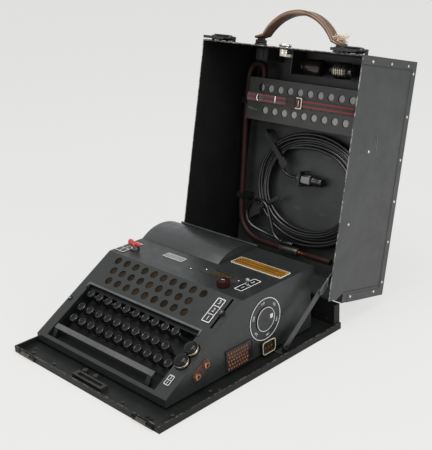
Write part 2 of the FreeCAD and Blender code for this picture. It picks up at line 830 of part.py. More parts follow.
def housing_shell():
    """Painted sheet housing: front lip, long slope, flat top and overhanging rear edge."""
    outer = prism("house_outer", house_profile("0"), "house_left", "house_wide")
    inner = prism("house_inner", house_profile("shell_wall"), "house_left + shell_wall",
                  "house_wide - 2 * shell_wall")
    dial_hole = rod("dial_hole", "x", "house_right - 2 * shell_wall", DIAL_Y, "dial_rise",
                    "control_shaft_radius + running_gap", "4 * shell_wall")
    shell = cut("house_shell", outer, inner, slope_openings(), dial_hole, *top_openings())
    knuckles = []
    for index, x in enumerate(("house_left", "cover_right - cover_third + side_gap")):
        knuckles.append(rod(f"cover_barrel_{index}", "x", x, "cover_hinge_y", "cover_hinge_z",
                            "cover_knuckle", "cover_third - side_gap"))
        knuckles.append(box(f"cover_ear_{index}", x, "rear_y", "top_rise - cover_ear",
                            "cover_third - side_gap", "cover_knuckle", "cover_ear + cover_knuckle"))
    pin = rod("cover_pin", "x", "house_left", "cover_hinge_y", "cover_hinge_z",
              "cover_pin_radius", "cover_wide")
    sub_part("housing_shell", fuse("housing_body", shell, *knuckles, pin))


def top_plate(name, x, y, wide, deep):
    """A thin plate screwed flat on the housing's top."""
    return box(name, x, y, "top_rise", wide, deep, "plate_thick")


def housing_trim():
    """Blank plates on the top and the slope, the counter's bezel and the selector's ring."""
    counter_x = "opening_right - counter_from_opening"
    counter_y = "crease_y + counter_from_crease"
    counter = cut(
        "counter_bezel",
        top_plate("counter_plate", counter_x, counter_y, "counter_wide", "counter_deep"),
        box("counter_window", f"{counter_x} + counter_edge", f"{counter_y} + bead_wide",
            "top_rise - plate_thick", "counter_window", "counter_deep - 2 * bead_wide", "3 * plate_thick"),
    )
    toggle_label = cut(
        "toggle_label",
        top_plate("toggle_strip", f"{TOGGLE[0]} - toggle_label_wide / 2",
                  f"{TOGGLE[1]} - toggle_label_long / 2", "toggle_label_wide", "toggle_label_long"),
        rod("toggle_label_hole", "z", *TOGGLE, "top_rise - plate_thick",
            "toggle_ball_radius + side_gap", "3 * plate_thick"),
    )
    lever_label = cut(
        "lever_label",
        top_plate("lever_plate", "house_left + bead_wide / 3", f"{LEVER[1]} - lever_label_long / 2",
                  "lever_label_wide", "lever_label_long"),
        rod("lever_label_hole", "z", *LEVER, "top_rise - plate_thick",
            "lever_skirt_radius + side_gap", "3 * plate_thick"),
    )
    ring = cut(
        "dial_ring",
        rod("dial_ring_disc", "x", "house_right", DIAL_Y, "dial_rise", "dial_ring_radius", "dial_ring_thick"),
        rod("dial_ring_hole", "x", "house_right - dial_ring_thick", DIAL_Y, "dial_rise",
            "dial_ring_inner", "3 * dial_ring_thick"),
    )
    pieces = [
        counter, toggle_label, lever_label, ring,
        top_plate("name_plate", "-name_plate_left", "crease_y + name_plate_from_crease",
                  "name_plate_wide", "name_plate_deep"),
        top_plate("yellow_plate", "opening_right - yellow_from_opening",
                  "seam_y + side_gap + yellow_from_seam", "yellow_wide", "yellow_deep"),
    ]
    range_label = box("range_label", "slider_x - slider_radius - label_gap - slope_label_wide",
                      "slider_mid - slope_label_long / 2", 0,
                      "slope_label_wide", "slope_label_long", "plate_thick")
    small_label = box("small_label", "function_key_x - small_label_wide / 2",
                      "function_key_front - function_key_pitch - small_label_long", 0,
                      "small_label_wide", "small_label_long", "plate_thick")
    pieces.append(on_slope(group("slope_labels", range_label, small_label)))
    sub_part("housing_trim", group("housing_trim_group", *pieces))


# ---------------------------------------------------------------- keyboard

def deck_profile(wall):
    """Side view of the keyboard well: shallow at the front, deep under the keys."""
    return (
        (f"opening_front - {wall}", "-shell_wall"),
        (f"opening_front - {wall}", f"-deck_front_depth - {wall}"),
        (f"deck_fold - {wall} / 2", f"-deck_depth - {wall}"),
        (f"opening_rear + {wall}", f"-deck_depth - {wall}"),
        (f"opening_rear + {wall}", "-shell_wall"),
    )


def stem_slots():
    """A slot in the floor for each key's stem."""
    for name, across, up, wide in KEYS + FUNCTION_KEYS:
        yield box(f"{name}_slot", f"{across} - {wide} / 2 - slot_gap", f"{up} - stem_thick / 2 - slot_gap",
                  "-deck_depth - 2 * deck_wall", f"{wide} + 2 * slot_gap", "stem_thick + 2 * slot_gap",
                  "3 * deck_wall")


def hand_bar():
    """The bar across the front of the well, with an apron and two legs down to the floor."""
    left = "opening_left + bar_left"
    wide = "opening_wide - bar_left - bar_right"
    top = box("bar_top", left, "bar_setback", "-bar_thick", wide, "bar_deep", "bar_thick")
    apron = box("bar_apron_strip", left, "bar_setback + bar_deep - bar_thick", "-bar_apron",
                wide, "bar_thick", "bar_apron")
    legs = []
    for index, x in enumerate((left, f"{left} + {wide} - bar_deep")):
        legs.append(prism(f"bar_leg_{index}", (
            ("bar_setback + bar_thick", "0"),
            ("bar_setback + bar_thick", "-bar_thick"),
            ("opening_front + bar_deep", "-deck_front_depth - deck_wall / 4"),
            ("opening_front + bar_thick", "-deck_front_depth - deck_wall / 4"),
            ("opening_front + bar_thick", "-deck_front_depth + bar_thick"),
        ), x, "bar_deep"))
    return [top, apron, *legs]


def keyboard_deck():
    """The well that the keys move in, with its hand bar, rear ledge, side shelf and bright bead."""
    outer = prism("well_outer", deck_profile("deck_wall"), "opening_left - deck_wall",
                  "opening_wide + 2 * deck_wall")
    inner = prism("well_inner", deck_profile("0"), "opening_left", "opening_wide")
    shelf = box("well_shelf", "opening_right + deck_wall / 2", "function_key_front - function_key_radius",
                "-deck_depth - deck_wall", "function_key_out + function_key_radius",
                "function_key_pitch + 2 * function_key_radius", "deck_wall")
    holes = function_holes("well_hole", "-deck_front_depth - deck_wall", "deck_front_depth + deck_wall")
    well = cut("well", fuse("well_block", cut("well_tub", outer, inner), shelf), *holes, *stem_slots())
    body = fuse("well_with_bar", well, *hand_bar())
    ledge = box("well_ledge", "opening_left", "opening_rear - ledge_deep", "-ledge_level - bar_thick",
                "opening_wide", "ledge_deep", "bar_thick")
    bead_left = "opening_left - bead_wide"
    bead = fuse(
        "bead",
        box("bead_rear", bead_left, "opening_rear", 0,
            "opening_wide + 2 * bead_wide", "bead_wide", "bead_tall"),
        box("bead_left", bead_left, "opening_rear - bead_return", 0,
            "bead_wide", "bead_return + bead_wide", "bead_tall"),
        box("bead_right", "opening_right", "opening_rear - bead_return", 0,
            "bead_wide", "bead_return + bead_wide", "bead_tall"),
    )
    sub_part("keyboard_deck", on_slope(group("keyboard_deck_group", body, ledge, bead)))


def key_stem(name, across, up, wide, top):
    """The flat stem below a key's cap."""
    low = "(-deck_depth - deck_wall - stem_below)"
    return box(f"{name}_stem", f"{across} - {wide} / 2", f"{up} - stem_thick / 2", low,
               wide, "stem_thick", f"{top} - {low}")


def letter_keys():
    """The 31 round keys, each with a ringed cap, a round skirt and a flat stem."""
    cap_low = "(key_level - key_cap_tall)"
    skirt_low = "(-deck_depth + key_travel + skirt_clear)"
    for name, across, up, wide in KEYS:
        cap = rod(f"{name}_cap", "z", across, up, cap_low, "key_radius", "key_cap_tall")
        skirt = rod(f"{name}_skirt", "z", across, up, skirt_low, "skirt_radius", f"{cap_low} - {skirt_low}")
        sub_part(name, on_slope(fuse(f"{name}_body", cap, skirt, key_stem(name, across, up, wide, cap_low))))


def function_keys():
    """Two large domed keys in round holes beside the well."""
    for name, across, up, wide in FUNCTION_KEYS:
        dome = turned(f"{name}_dome", (
            ("0", "function_key_level - function_key_tall - 4 * shell_wall"),
            ("function_key_radius", "function_key_level - function_key_tall - 4 * shell_wall"),
            ("function_key_radius", "function_key_level - dome_side"),
            ("function_key_radius - dome_edge", "function_key_level - dome_shoulder"),
            ("function_key_radius - dome_crown", "function_key_level - dome_crown_drop"),
            ("0", "function_key_level"),
        ), across, up, 0)
        stem = key_stem(name, across, up, wide, "(function_key_level - function_key_tall)")
        sub_part(name, on_slope(fuse(f"{name}_body", dome, stem)))


# ---------------------------------------------------------------- lamp field

def lamp_board():
    """A window film under the slope and, below it on posts, the board with the 28 bulbs."""
    low = "lamp_last_row - 2 * lamp_row_pitch - board_margin"
    deep = "2 * lamp_row_pitch + 2 * board_margin"
    left = f"{FIRST_LAMP_X} - board_margin"
    wide = "lamp_span + 2 * board_margin"
    film_low = "(-shell_wall - film_thick)"
    pieces = [
        box("lamp_film", left, low, film_low, wide, deep, "film_thick"),
        box("lamp_carrier", left, low, "-board_drop - board_thick", wide, deep, "board_thick"),
    ]
    for column, x in enumerate((f"{left} + post_radius", f"{left} + {wide} - post_radius")):
        for line, up in enumerate((f"{low} + post_radius", f"{low} + {deep} - post_radius")):
            pieces.append(rod(f"lamp_post_{column}_{line}", "z", x, up, "-board_drop",
                              "post_radius", f"board_drop + {film_low}"))
    for name, across, up in SLOPE_LAMPS:
        base = rod(f"bulb_{name}_base", "z", across, up, "-board_drop", "bulb_base_radius", "bulb_tall / 2")
        glass = rod(f"bulb_{name}_glass", "z", across, up, "-board_drop + bulb_tall / 2",
                    "bulb_radius", "bulb_tall / 2")
        pieces.append(fuse(f"bulb_{name}", base, glass))
    sub_part("lamp_board", on_slope(group("lamp_board_group", *pieces)))


# ---------------------------------------------------------------- drive and rotors

def drive_chassis():
    """Base plate with bearing plates, motor and pinion, transformer and contact bank."""
    plate_front = "lip_y + shell_wall"
    plate_deep = f"rear_y - overhang - shell_wall - ({plate_front})"
    plate = box("chassis_plate", "house_left + shell_wall", plate_front, "house_base",
                "house_wide - 2 * shell_wall", plate_deep, "board_thick")
    pieces = []
    web_low = "house_base + board_thick / 2"
    for name, x in (("left", "bay_left"), ("right", "bay_right - bearing_thick")):
        web = box(f"bearing_{name}_web", x, "rotor_y - bearing_half", web_low,
                  "bearing_thick", "2 * bearing_half", f"top_rise - 2 * shell_wall - ({web_low})")
        bore = rod(f"bearing_{name}_bore", "x", f"{x} - bearing_thick", "rotor_y", "rotor_z",
                   "rotor_shaft_radius + running_gap", "3 * bearing_thick")
        pieces.append(cut(f"bearing_{name}", web, bore))
    frame = fuse("chassis_frame", plate, *pieces)
    motor_x = "bay_right + motor_from_bay"
    motor = rod("motor_body", "x", motor_x, "rotor_y", "motor_z", "motor_radius", "motor_long")
    motor_shaft = rod("motor_shaft", "x", "bay_right + gear_offset", "rotor_y", "motor_z",
                      "motor_shaft_radius", "motor_from_bay")
    pinion = rod("motor_pinion", "x", "bay_right + gear_offset", "rotor_y", "motor_z",
                 "rotor_z - motor_z - gear_radius - side_gap", "gear_thick")
    cradle = box("motor_cradle", f"{motor_x} + cradle_tall", "rotor_y - motor_radius / 2", "chassis_top",
                 "motor_long - 2 * cradle_tall", "motor_radius", "cradle_tall + motor_radius / 2")
    transformer_y = "crease_y + transformer_core"
    core = box("transformer_core_block", motor_x, transformer_y, "chassis_top",
               "transformer_wide", "transformer_deep", "transformer_tall")
    winding = box("transformer_winding", f"{motor_x} + transformer_core",
                  f"{transformer_y} - transformer_core / 2", "chassis_top + transformer_core",
                  "transformer_wide - 2 * transformer_core", "transformer_deep + transformer_core",
                  "transformer_tall - 2 * transformer_core")
    bank = box("contact_bank", "opening_left + first_key", "crease_y - bank_deep", "chassis_top",
               "lamp_span", "bank_deep", "bank_tall")
    sub_part("drive_chassis", group(
        "drive_chassis_group", frame, fuse("motor", motor, motor_shaft, pinion, cradle),
        fuse("transformer", core, winding), bank,
    ))


def rotor_stack():
    """Ten contact wheels with toothed rims on one shaft, with the drive gear at its right end."""
    pieces = [
        rod("rotor_shaft", "x", "bay_left - bearing_thick", "rotor_y", "rotor_z", "rotor_shaft_radius",
            "bay_right - bay_left + bearing_thick + gear_offset + gear_thick"),
        rod("rotor_hub", "x", "bay_left + bearing_thick + side_gap", "rotor_y", "rotor_z", "rotor_hub_radius",
            "bay_right - bay_left - 2 * bearing_thick - 2 * side_gap"),
        rod("rotor_gear", "x", "bay_right + gear_offset", "rotor_y", "rotor_z", "gear_radius", "gear_thick"),
    ]
    for index in range(ROTORS):
        start = f"bay_left + bearing_thick + rotor_gap + {index} * rotor_pitch"
        pieces.append(rod(f"rotor_{index}_rim", "x", start, "rotor_y", "rotor_z",
                          "rotor_radius", "rotor_pitch / 2"))
        pieces.append(rod(f"rotor_{index}_body", "x", start, "rotor_y", "rotor_z",
                          "rotor_radius - rotor_rim_step", "rotor_pitch - rotor_gap"))
    sub_part("rotor_stack", fuse("rotor_stack_body", *pieces))


def rotor_cover():
    """Curved cover over the rotor bay, hinged along its rear edge."""
    arc_z = "cover_base + cover_rise - cover_radius"
    outer = common(
        "cover_segment",
        rod("cover_arc", "x", "house_left", "cover_mid_y", arc_z, "cover_radius", "cover_wide"),
        box("cover_above", "house_left", "seam_y", "cover_base", "cover_wide", "bay_depth", "2 * cover_rise"),
    )
    hollow = common(
        "cover_hollow",
        rod("cover_inner_arc", "x", "house_left + cover_wall", "cover_mid_y", arc_z,
            "cover_radius - cover_wall", "cover_wide - 2 * cover_wall"),
        box("cover_inner_above", "house_left", "seam_y", "cover_base - cover_wall",
            "cover_wide", "bay_depth", "2 * cover_rise"),
    )
    barrel_x = "house_left + cover_third + side_gap / 2"
    barrel = rod("cover_barrel", "x", barrel_x, "cover_hinge_y", "cover_hinge_z",
                 "cover_knuckle", "cover_third - side_gap")
    leaf = box("cover_leaf", barrel_x, "rear_y - 3 * cover_knuckle", "cover_base",
               "cover_third - side_gap", "4 * cover_knuckle", "cover_knuckle / 2")
    bore = rod("cover_bore", "x", "house_left", "cover_hinge_y", "cover_hinge_z",
               "cover_pin_radius + running_gap", "cover_wide")
    shell = cut("cover_shell", outer, hollow)
    sub_part("rotor_cover", cut("rotor_cover_body", fuse("cover_with_barrel", shell, barrel, leaf), bore))


# ---------------------------------------------------------------- controls

def top_shaft(name, x, y):
    """A control's shaft through the top plate."""
    return rod(name, "z", x, y, "top_rise - shaft_below", "control_shaft_radius",
               "shaft_below + 2 * knob_lift")


def mode_lever():
    """Wing knob on a round skirt."""
    low = "top_rise + knob_lift"
    x, y = LEVER
    skirt = rod("lever_skirt", "z", x, y, low, "lever_skirt_radius", "lever_skirt_tall")
    wing = box("lever_wing", f"{x} - wing_long / 2", f"{y} - wing_thick / 2", f"{low} + lever_skirt_tall / 2",
               "wing_long", "wing_thick", "wing_tall + lever_skirt_tall / 2")
    sub_part("mode_lever", fuse("mode_lever_body", top_shaft("lever_shaft", x, y), skirt, wing))


def counter_reset_knob():
    """Round knurled knob that sets the counter back."""
    x, y = RESET
    knob = rod("reset_knob", "z", x, y, "top_rise + knob_lift", "reset_radius", "reset_tall")
    sub_part("counter_reset_knob", fuse("reset_knob_body", top_shaft("reset_shaft", x, y), knob))


def toggle_knob():
    """Small switch lever that tilts in a ball joint in the top plate."""
    x, y = TOGGLE
    middle = "top_rise - shell_wall / 2"
    pivot = ball("toggle_ball", x, y, middle, "toggle_ball_radius")
    stem = rod("toggle_stem", "z", x, y, middle, "toggle_stem_radius", "toggle_tall")
    tip = ball("toggle_tip", x, y, f"{middle} + toggle_tall", "toggle_tip_radius")
    sub_part("toggle_knob", fuse("toggle_knob_body", pivot, stem, tip))


def range_slider():
    """Small knob that slides in a slot beside the lamps, with a runner below the sheet."""
    neck_low = "(-shell_wall - 2 * plate_thick)"
    knob = rod("slider_knob", "z", "slider_x", "slider_mid", "knob_lift", "slider_radius", "slider_tall")
    neck = rod("slider_neck", "z", "slider_x", "slider_mid", neck_low,
               "slider_neck_radius", f"2 * knob_lift - {neck_low}")
    runner = rod("slider_runner", "z", "slider_x", "slider_mid", f"{neck_low} - plate_thick / 2",
                 "slider_flange_radius", "3 * plate_thick / 2")
    sub_part("range_slider", on_slope(fuse("range_slider_body", knob, neck, runner)))


def voltage_selector():
    """Round selector on the right-hand wall with a bar grip across it."""
    face = "house_right + knob_lift"
    disc = rod("selector_disc", "x", face, DIAL_Y, "dial_rise", "dial_radius", "dial_thick")
    grip = box("selector_grip", f"{face} + dial_thick / 2", f"{DIAL_Y} - dial_radius + dial_grip_wide / 2",
               "dial_rise - dial_grip_wide / 2", "dial_thick / 2 + dial_grip_tall",
               "2 * dial_radius - dial_grip_wide", "dial_grip_wide")
    shaft = rod("selector_shaft", "x", "house_right - shaft_below", DIAL_Y, "dial_rise",
                "control_shaft_radius", "shaft_below + 2 * knob_lift")
    sub_part("voltage_selector", fuse("voltage_selector_body", disc, grip, shaft))


PIN_ROWS = 3
PIN_COLUMNS = 6


def side_sockets():
    """Mains inlet, many-pin socket and two single sockets on the right-hand wall."""
    inlet_y = "crease_y + inlet_from_crease"
    inlet_z = "house_base + side_gap"
    frame = cut(
        "inlet_frame",
        box("inlet_block", "house_right", inlet_y, inlet_z, "inlet_thick", "inlet_wide", "inlet_tall"),
        box("inlet_room", "house_right + plate_thick", f"{inlet_y} + inlet_wall", f"{inlet_z} + inlet_wall",
            "inlet_thick", "inlet_wide - 2 * inlet_wall", "inlet_tall - 2 * inlet_wall"),
    )
    inlet = [frame]
    for index in (-1, 0, 1):
        pin_y = f"{inlet_y} + inlet_wide / 2 + {index} * inlet_tall / 3"
        inlet.append(rod(f"inlet_pin_{index + 1}", "x", "house_right", pin_y, f"{inlet_z} + inlet_tall / 2",
                         "inlet_pin_radius", "inlet_thick - plate_thick"))
    block_y = "crease_y - multipole_from_crease"
    block = cut(
        "multipole_body",
        box("multipole_block", "house_right", block_y, "multipole_rise",
            "multipole_thick", "multipole_wide", "multipole_tall"),
        box("multipole_room", "house_right + multipole_thick - multipole_recess",
            f"{block_y} + multipole_recess", "multipole_rise + multipole_recess", "multipole_thick",
            "multipole_wide - 2 * multipole_recess", "multipole_tall - 2 * multipole_recess"),
    )
    multipole = [block]
    for line in range(PIN_ROWS):
        for column in range(PIN_COLUMNS):
            multipole.append(rod(
                f"multipole_pin_{line}_{column}", "x", "house_right + plate_thick",
                f"{block_y} + ({column} + 1 / 2) * multipole_wide / {PIN_COLUMNS}",
                f"multipole_rise + ({line} + 1 / 2) * multipole_tall / {PIN_ROWS}",
                "multipole_pin_radius", "multipole_thick - 2 * plate_thick"))
    pieces = [fuse("mains_inlet", *inlet), fuse("multipole_socket", *multipole)]
    for index in range(2):
        y = f"lip_y + twin_from_lip + {index} * twin_pitch * slope_cos"
        z = f"twin_rise + {index} * twin_pitch * slope_sin"
        pieces.append(cut(
            f"single_socket_{index}",
            rod(f"single_bush_{index}", "x", "house_right", y, z, "twin_radius", "twin_thick"),
            rod(f"single_hole_{index}", "x", "house_right + plate_thick", y, z,
                "socket_hole_radius", "twin_thick"),
        ))
    sub_part("side_sockets", group("side_sockets_group", *pieces))


# ---------------------------------------------------------------- stay

def flat_bar(name, length):
    """A flat bar with round ends along +Y, its first pivot at the origin."""
    forms = [box(f"{name}_flat", 0, 0, "-stay_wide / 2", "stay_thick", length, "stay_wide")]
    for index, y in enumerate(("0", length)):
        forms.append(rod(f"{name}_end_{index}", "x", 0, y, 0, "stay_wide / 2", "stay_thick"))
    return fuse(f"{name}_bar", *forms)


def pivot_hole(name, y):
    """A hole for a stay pin at a distance along a bar."""
    return rod(name, "x", "-stay_thick", y, 0, "stay_pin_radius + running_gap", "3 * stay_thick")


def stay():
    """Two-bar stay at the right: an arm on the floor bracket and a link to the stud in the lid."""
    arm = cut("arm_drilled", flat_bar("arm", "arm_long"), pivot_hole("arm_floor_hole", "0"))
    elbow = rod("elbow_pin", "x", 0, "arm_long", 0, "stay_pin_radius", "2 * stay_thick + 2 * side_gap")
    sub_part("stay_arm", turn(fuse("stay_arm_body", arm, elbow), (1, 0, 0), "arm_angle",
                              "arm_x", "arm_pivot_y", "arm_pivot_rise"))
    link = cut("link_drilled", flat_bar("link", "link_long"), pivot_hole("link_elbow_hole", "0"))
    sub_part("stay_link", turn(link, (1, 0, 0), "link_angle", "link_x", "elbow_y", "elbow_z"))


# ---------------------------------------------------------------- lid

def edge_strips():
    """Doubled edges along the lid's corners: upright strips and strips below the top."""
    upright = "lid_top - lid_rim"
    strips = []
    for side, x in (("left", "tray_left"), ("right", "tray_right - strip_thick")):
        strips.append(box(f"strip_{side}_front", x, "tray_front", "lid_rim",
                          "strip_thick", "strip_wide", upright))
        strips.append(box(f"strip_{side}_top", x, "tray_front", "lid_top - strip_wide",
                          "strip_thick", "tray_deep", "strip_wide"))
        strips.append(box(f"strip_{side}_rear", x, "tray_rear - strip_wide", "hinge_z + leaf_tall",
                          "strip_thick", "strip_wide", "lid_top - hinge_z - leaf_tall"))
    for side, x in (("left", "tray_left"), ("right", "tray_right - strip_wide")):
        strips.append(box(f"strip_front_{side}", x, "tray_front", "lid_rim",
                          "strip_wide", "strip_thick", upright))
    strips.append(box("strip_front_top", "tray_left", "tray_front", "lid_top - strip_wide",
                      "tray_wide", "strip_thick", "strip_wide"))
    return strips


def lid_shell():
    """Deep sheet lid with doubled edges, notched over the tray's rear wall, and its half of the hinge."""
    outer = box("lid_outer", "tray_left + strip_thick", "lid_front_out", "lid_rim",
                "tray_wide - 2 * strip_thick", "tray_rear - lid_front_out", "lid_top - lid_rim")
    inner = box("lid_room", "lid_left_in", "lid_front_in", "lid_rim - lid_wall",
                "lid_right_in - lid_left_in", "lid_rear_in - lid_front_in", "lid_inside - lid_rim + lid_wall")
    notch = prism("lid_notch", (
        ("tray_rear - notch_low_deep", "lid_rim - lid_wall"),
        ("tray_rear - notch_low_deep", "notch_fold"),
        ("tray_rear - notch_deep", "hinge_z - knuckle_gap"),
        ("tray_rear - notch_deep", "hinge_z + knuckle_radius + knuckle_gap"),
        ("tray_rear + lid_wall", "hinge_z + knuckle_radius + knuckle_gap"),
        ("tray_rear + lid_wall", "lid_rim - lid_wall"),
    ), "tray_left", "tray_wide")
    body = cut("lid_box", fuse("lid_block", outer, *edge_strips()), inner, notch)
    knuckles = []
    for index in range(1, HINGE_SEGMENTS, 2):
        knuckles += case_knuckle(index, "lid")
    bore = rod("lid_bore", "x", HINGE_START, "hinge_y", "hinge_z",
               "case_pin_radius + running_gap", "hinge_wide")
    lock_hole = rod("lock_hole", "y", 0, "tray_front - lid_wall", "lock_rise", "lock_radius", "4 * lid_wall")
    solid = fuse("lid_with_knuckles", body, *knuckles)
    sub_part("lid_shell", on_lid(cut("lid_body", solid, bore, lock_hole)))


# Routes are given with the lid shut, from a point that moves with what the cord is fastened to.
CABLE_START = ("lid_left_in", "lid_front_in", "lid_inside")
CABLE_ROUTE = (
    (45.7, 50.2, -31.5), (45.7, 35, -31.5), (36.7, 27, -31.5), (21, 28.5, -31.5), (10.7, 41, -31),
    (9.7, 68, -30), (10.7, 118, -28), (13.7, 172, -25.5), (17.7, 226, -24.5), (21.7, 278, -24.5),
    (27.7, 304, -24.5), (44.7, 321, -24.5), (68.7, 329, -24.5), (103.7, 330, -24.5), (123.7, 330, -24.5),
)
CLIP_FRONT = (10.2, 93, -29)
CLIP_REAR = (20.2, 258, -24.5)
# The lead's first stretch, from its sleeve round the lower left hook and into the coil.
LEAD_FIRST = (
    (123.7, 320.2, -24.5), (113.2, 320.2, -24.5), (104.6, 314.4, -24.8), (98.9, 304.6, -25),
    (93.5, 291, -25.1), (88.1, 278.8, -25.2), (81.5, 267.5, -25.3), (73.2, 261, -25.3),
    (62.6, 258.8, -25.3), (52.1, 261.5, -25.3), (43.3, 267.9, -25.3), (38.1, 277.5, -25.2),
    (37.4, 288.4, -25.3), (41.2, 298.5, -25.1), (51, 305.4, -23.4), (62.3, 310.7, -20.5),
    (74.7, 314.5, -17.6), (87.5, 317, -15.3), (100.5, 318.1, -14.2), (113, 317.9, -14), (124.9, 316.2, -14),
)
# The lead's last stretch, from the coil's innermost turn to the plug.
PLUG_START = ("coil_off_x", "coil_y", "plug_z")
LEAD_LAST = (
    (-45.7, -47.7, -2.8), (-47.5, -37.5, -2.4), (-44.9, -27.4, -1.6), (-38.2, -19.4, -0.8),
    (-28.7, -15, 0), (-12, -15, 0),
)

# The coil is an oval with round ends, about a left and a right middle.
COIL_RIGHT = "(coil_off_x + coil_stretch)"

# Each hook's angle about one of the coil's middles, and its strips as inner reach, outer reach and width.
COIL_HOOKS = (
    (0, COIL_RIGHT, (("hook_short_in", "hook_reach_out", "hook_wide"),)),
    (148, "coil_off_x", (("hook_root_in", "hook_reach_out", "hook_root_wide"),
                         ("hook_reach_in", "hook_root_in", "hook_thin_wide"))),
    (223, "coil_off_x", (("hook_flap_out", "hook_reach_out", "hook_wide"),
                         ("hook_reach_in", "hook_flap_out", "hook_flap_wide"))),
)


def coil_hook(index, angle, middle, strips):
    """A flat spring arm across the coil, bent back to the lid outside it."""
    level = "coil_z - soft_gap - hook_thick"
    forms = []
    for number, (inner, outer, wide) in enumerate(strips):
        forms.append(box(f"hook_strip_{index}_{number}", inner, f"-{wide} / 2", level,
                         f"{outer} - {inner}", wide, "hook_thick"))
    root_wide = strips[0][2]
    forms.append(box(f"hook_foot_{index}", "hook_reach_out - hook_thick", f"-{root_wide} / 2", level,
                     "hook_thick", root_wide, f"lid_inside - ({level})"))
    forms.append(box(f"hook_tab_{index}", "hook_reach_out - hook_foot", f"-{root_wide} / 2",
                     "lid_inside - hook_thick", "hook_foot", root_wide, "hook_thick"))
    hook = fuse(f"coil_hook_{index}", *forms)
    hook.Placement = FreeCAD.Placement(FreeCAD.Vector(), FreeCAD.Rotation(FreeCAD.Vector(0, 0, 1), angle))
    return place(hook, middle, "coil_y", 0)


def plug_clip():
    """A bent strap that holds the stored plug against the lid's back."""
    reach = "(plug_radius + soft_gap)"
    x = "coil_off_x + plug_from_coil_x + plug_clip_from"
    y = "coil_y + plug_from_coil_y"
    outer = box("plug_clip_outer", x, f"{y} - {reach} - hook_thick", f"plug_z - {reach} - hook_thick",
                "plug_clip_wide", f"2 * {reach} + 2 * hook_thick",
                f"lid_inside - plug_z + {reach} + hook_thick")
    inner = box("plug_clip_inner", f"{x} - plug_clip_wide / 2", f"{y} - {reach}", f"plug_z - {reach}",
                "2 * plug_clip_wide", f"2 * {reach}", f"lid_inside - plug_z + {reach} + hook_thick")
    return cut("plug_clip", outer, inner)


def ear_pair(name, middle, half, pivot_y, pivot_z, base_left, base_right):
    """A base plate on the lid's front with two ears and the pin between them."""
    deep = f"tray_front - ({pivot_y}) + loop_radius"
    forms = [
        rod(f"{name}_pin", "x", f"{middle} - {half} - side_gap", pivot_y, pivot_z,
            "ear_pin_radius", f"2 * {half} + 2 * side_gap"),
        box(f"{name}_base", base_left, "tray_front", f"{pivot_z} - 2 * loop_radius",
            f"({base_right}) - ({base_left})", "strip_thick", "4 * loop_radius"),
    ]
    for side, x in ((0, f"{middle} - {half} - side_gap - ear_thick"), (1, f"{middle} + {half} + side_gap")):
        forms.append(box(f"{name}_ear_{side}", x, f"{pivot_y} - loop_radius", f"{pivot_z} - loop_radius",
                         "ear_thick", deep, "2 * loop_radius"))
    return fuse(name, *forms)


def cable_clip(name, point):
    """A block clip on the lid's back with the lamp cable through it."""
    x, y, z = (f"({start} + {offset})" for start, offset in zip(CABLE_START, point))
    half = "(cable_diameter / 2 + hook_thick + soft_gap)"
    block = box(f"{name}_block", f"{x} - {half}", f"{y} - hook_wide / 2", f"{z} - {half}",
                f"2 * {half}", "hook_wide", f"lid_inside - {z} + {half}")
    bore = rod(f"{name}_bore", "y", x, f"{y} - hook_wide", z,
               "cable_diameter / 2 + 2 * soft_gap", "2 * hook_wide")
    return cut(name, block, bore)


def stowed(name, corners, x, radius, long):
    """A turned piece stowed along the lid's front edge, on a saddle that stands on the lid's back."""
    y = "lid_front_in + stow_from_front"
    z = "lid_inside - stow_drop"
    body = turned(f"{name}_body", corners, x, y, z, "x")
    saddle = box(f"{name}_saddle", f"{x} + {long} / 2 - hook_wide / 2", f"{y} - {radius} / 2", z,
                 "hook_wide", radius, "stow_drop")
    return fuse(name, body, saddle)


def stowed_adapter():
    """A screw-shell adapter: thin neck, wide shell and a narrower end."""
    shell_end = "adapter_long - adapter_neck_long"
    return stowed("stowed_adapter", (
        ("0", "0"),
        ("adapter_neck_radius", "0"),
        ("adapter_neck_radius", "adapter_neck_long"),
        ("adapter_radius", "adapter_neck_long + adapter_shoulder"),
        ("adapter_radius", shell_end),
        ("adapter_tip_radius", f"{shell_end} + adapter_shoulder"),
        ("adapter_tip_radius", "adapter_long"),
        ("0", "adapter_long"),
    ), "adapter_from_middle", "adapter_radius", "adapter_long")


def stowed_plug():
    """A spare plug: round body with a neck and a flange at its left end."""
    return stowed("stowed_plug", (
        ("0", "0"),
        ("spare_flange_radius", "0"),
        ("spare_flange_radius", "spare_flange_long"),
        ("spare_neck_radius", "spare_flange_long"),
        ("spare_neck_radius", "2 * spare_flange_long"),
        ("spare_plug_radius", "3 * spare_flange_long"),
        ("spare_plug_radius", "spare_plug_long - spare_flange_long"),
        ("spare_plug_radius - spare_flange_long", "spare_plug_long"),
        ("0", "spare_plug_long"),
    ), "(-spare_plug_from_middle)", "spare_plug_radius", "spare_plug_long")


def spare_holder():
    """An open bracket with a flat plate, clipped near the left end of the lid's front edge."""
    x = "lid_left_in + spare_from_left"
    y = "lid_front_in + pocket_wall"
    low = "lid_inside - bracket_tall"
    block = box("spare_block", x, y, low, "bracket_wide", "bracket_deep", "bracket_tall")
    room = box("spare_room", f"{x} + pocket_wall", f"{y} - pocket_wall", f"{low} + pocket_wall",
               "bracket_wide - 2 * pocket_wall", "bracket_deep + 2 * pocket_wall", "bracket_tall")
    return cut("spare_holder", block, room)


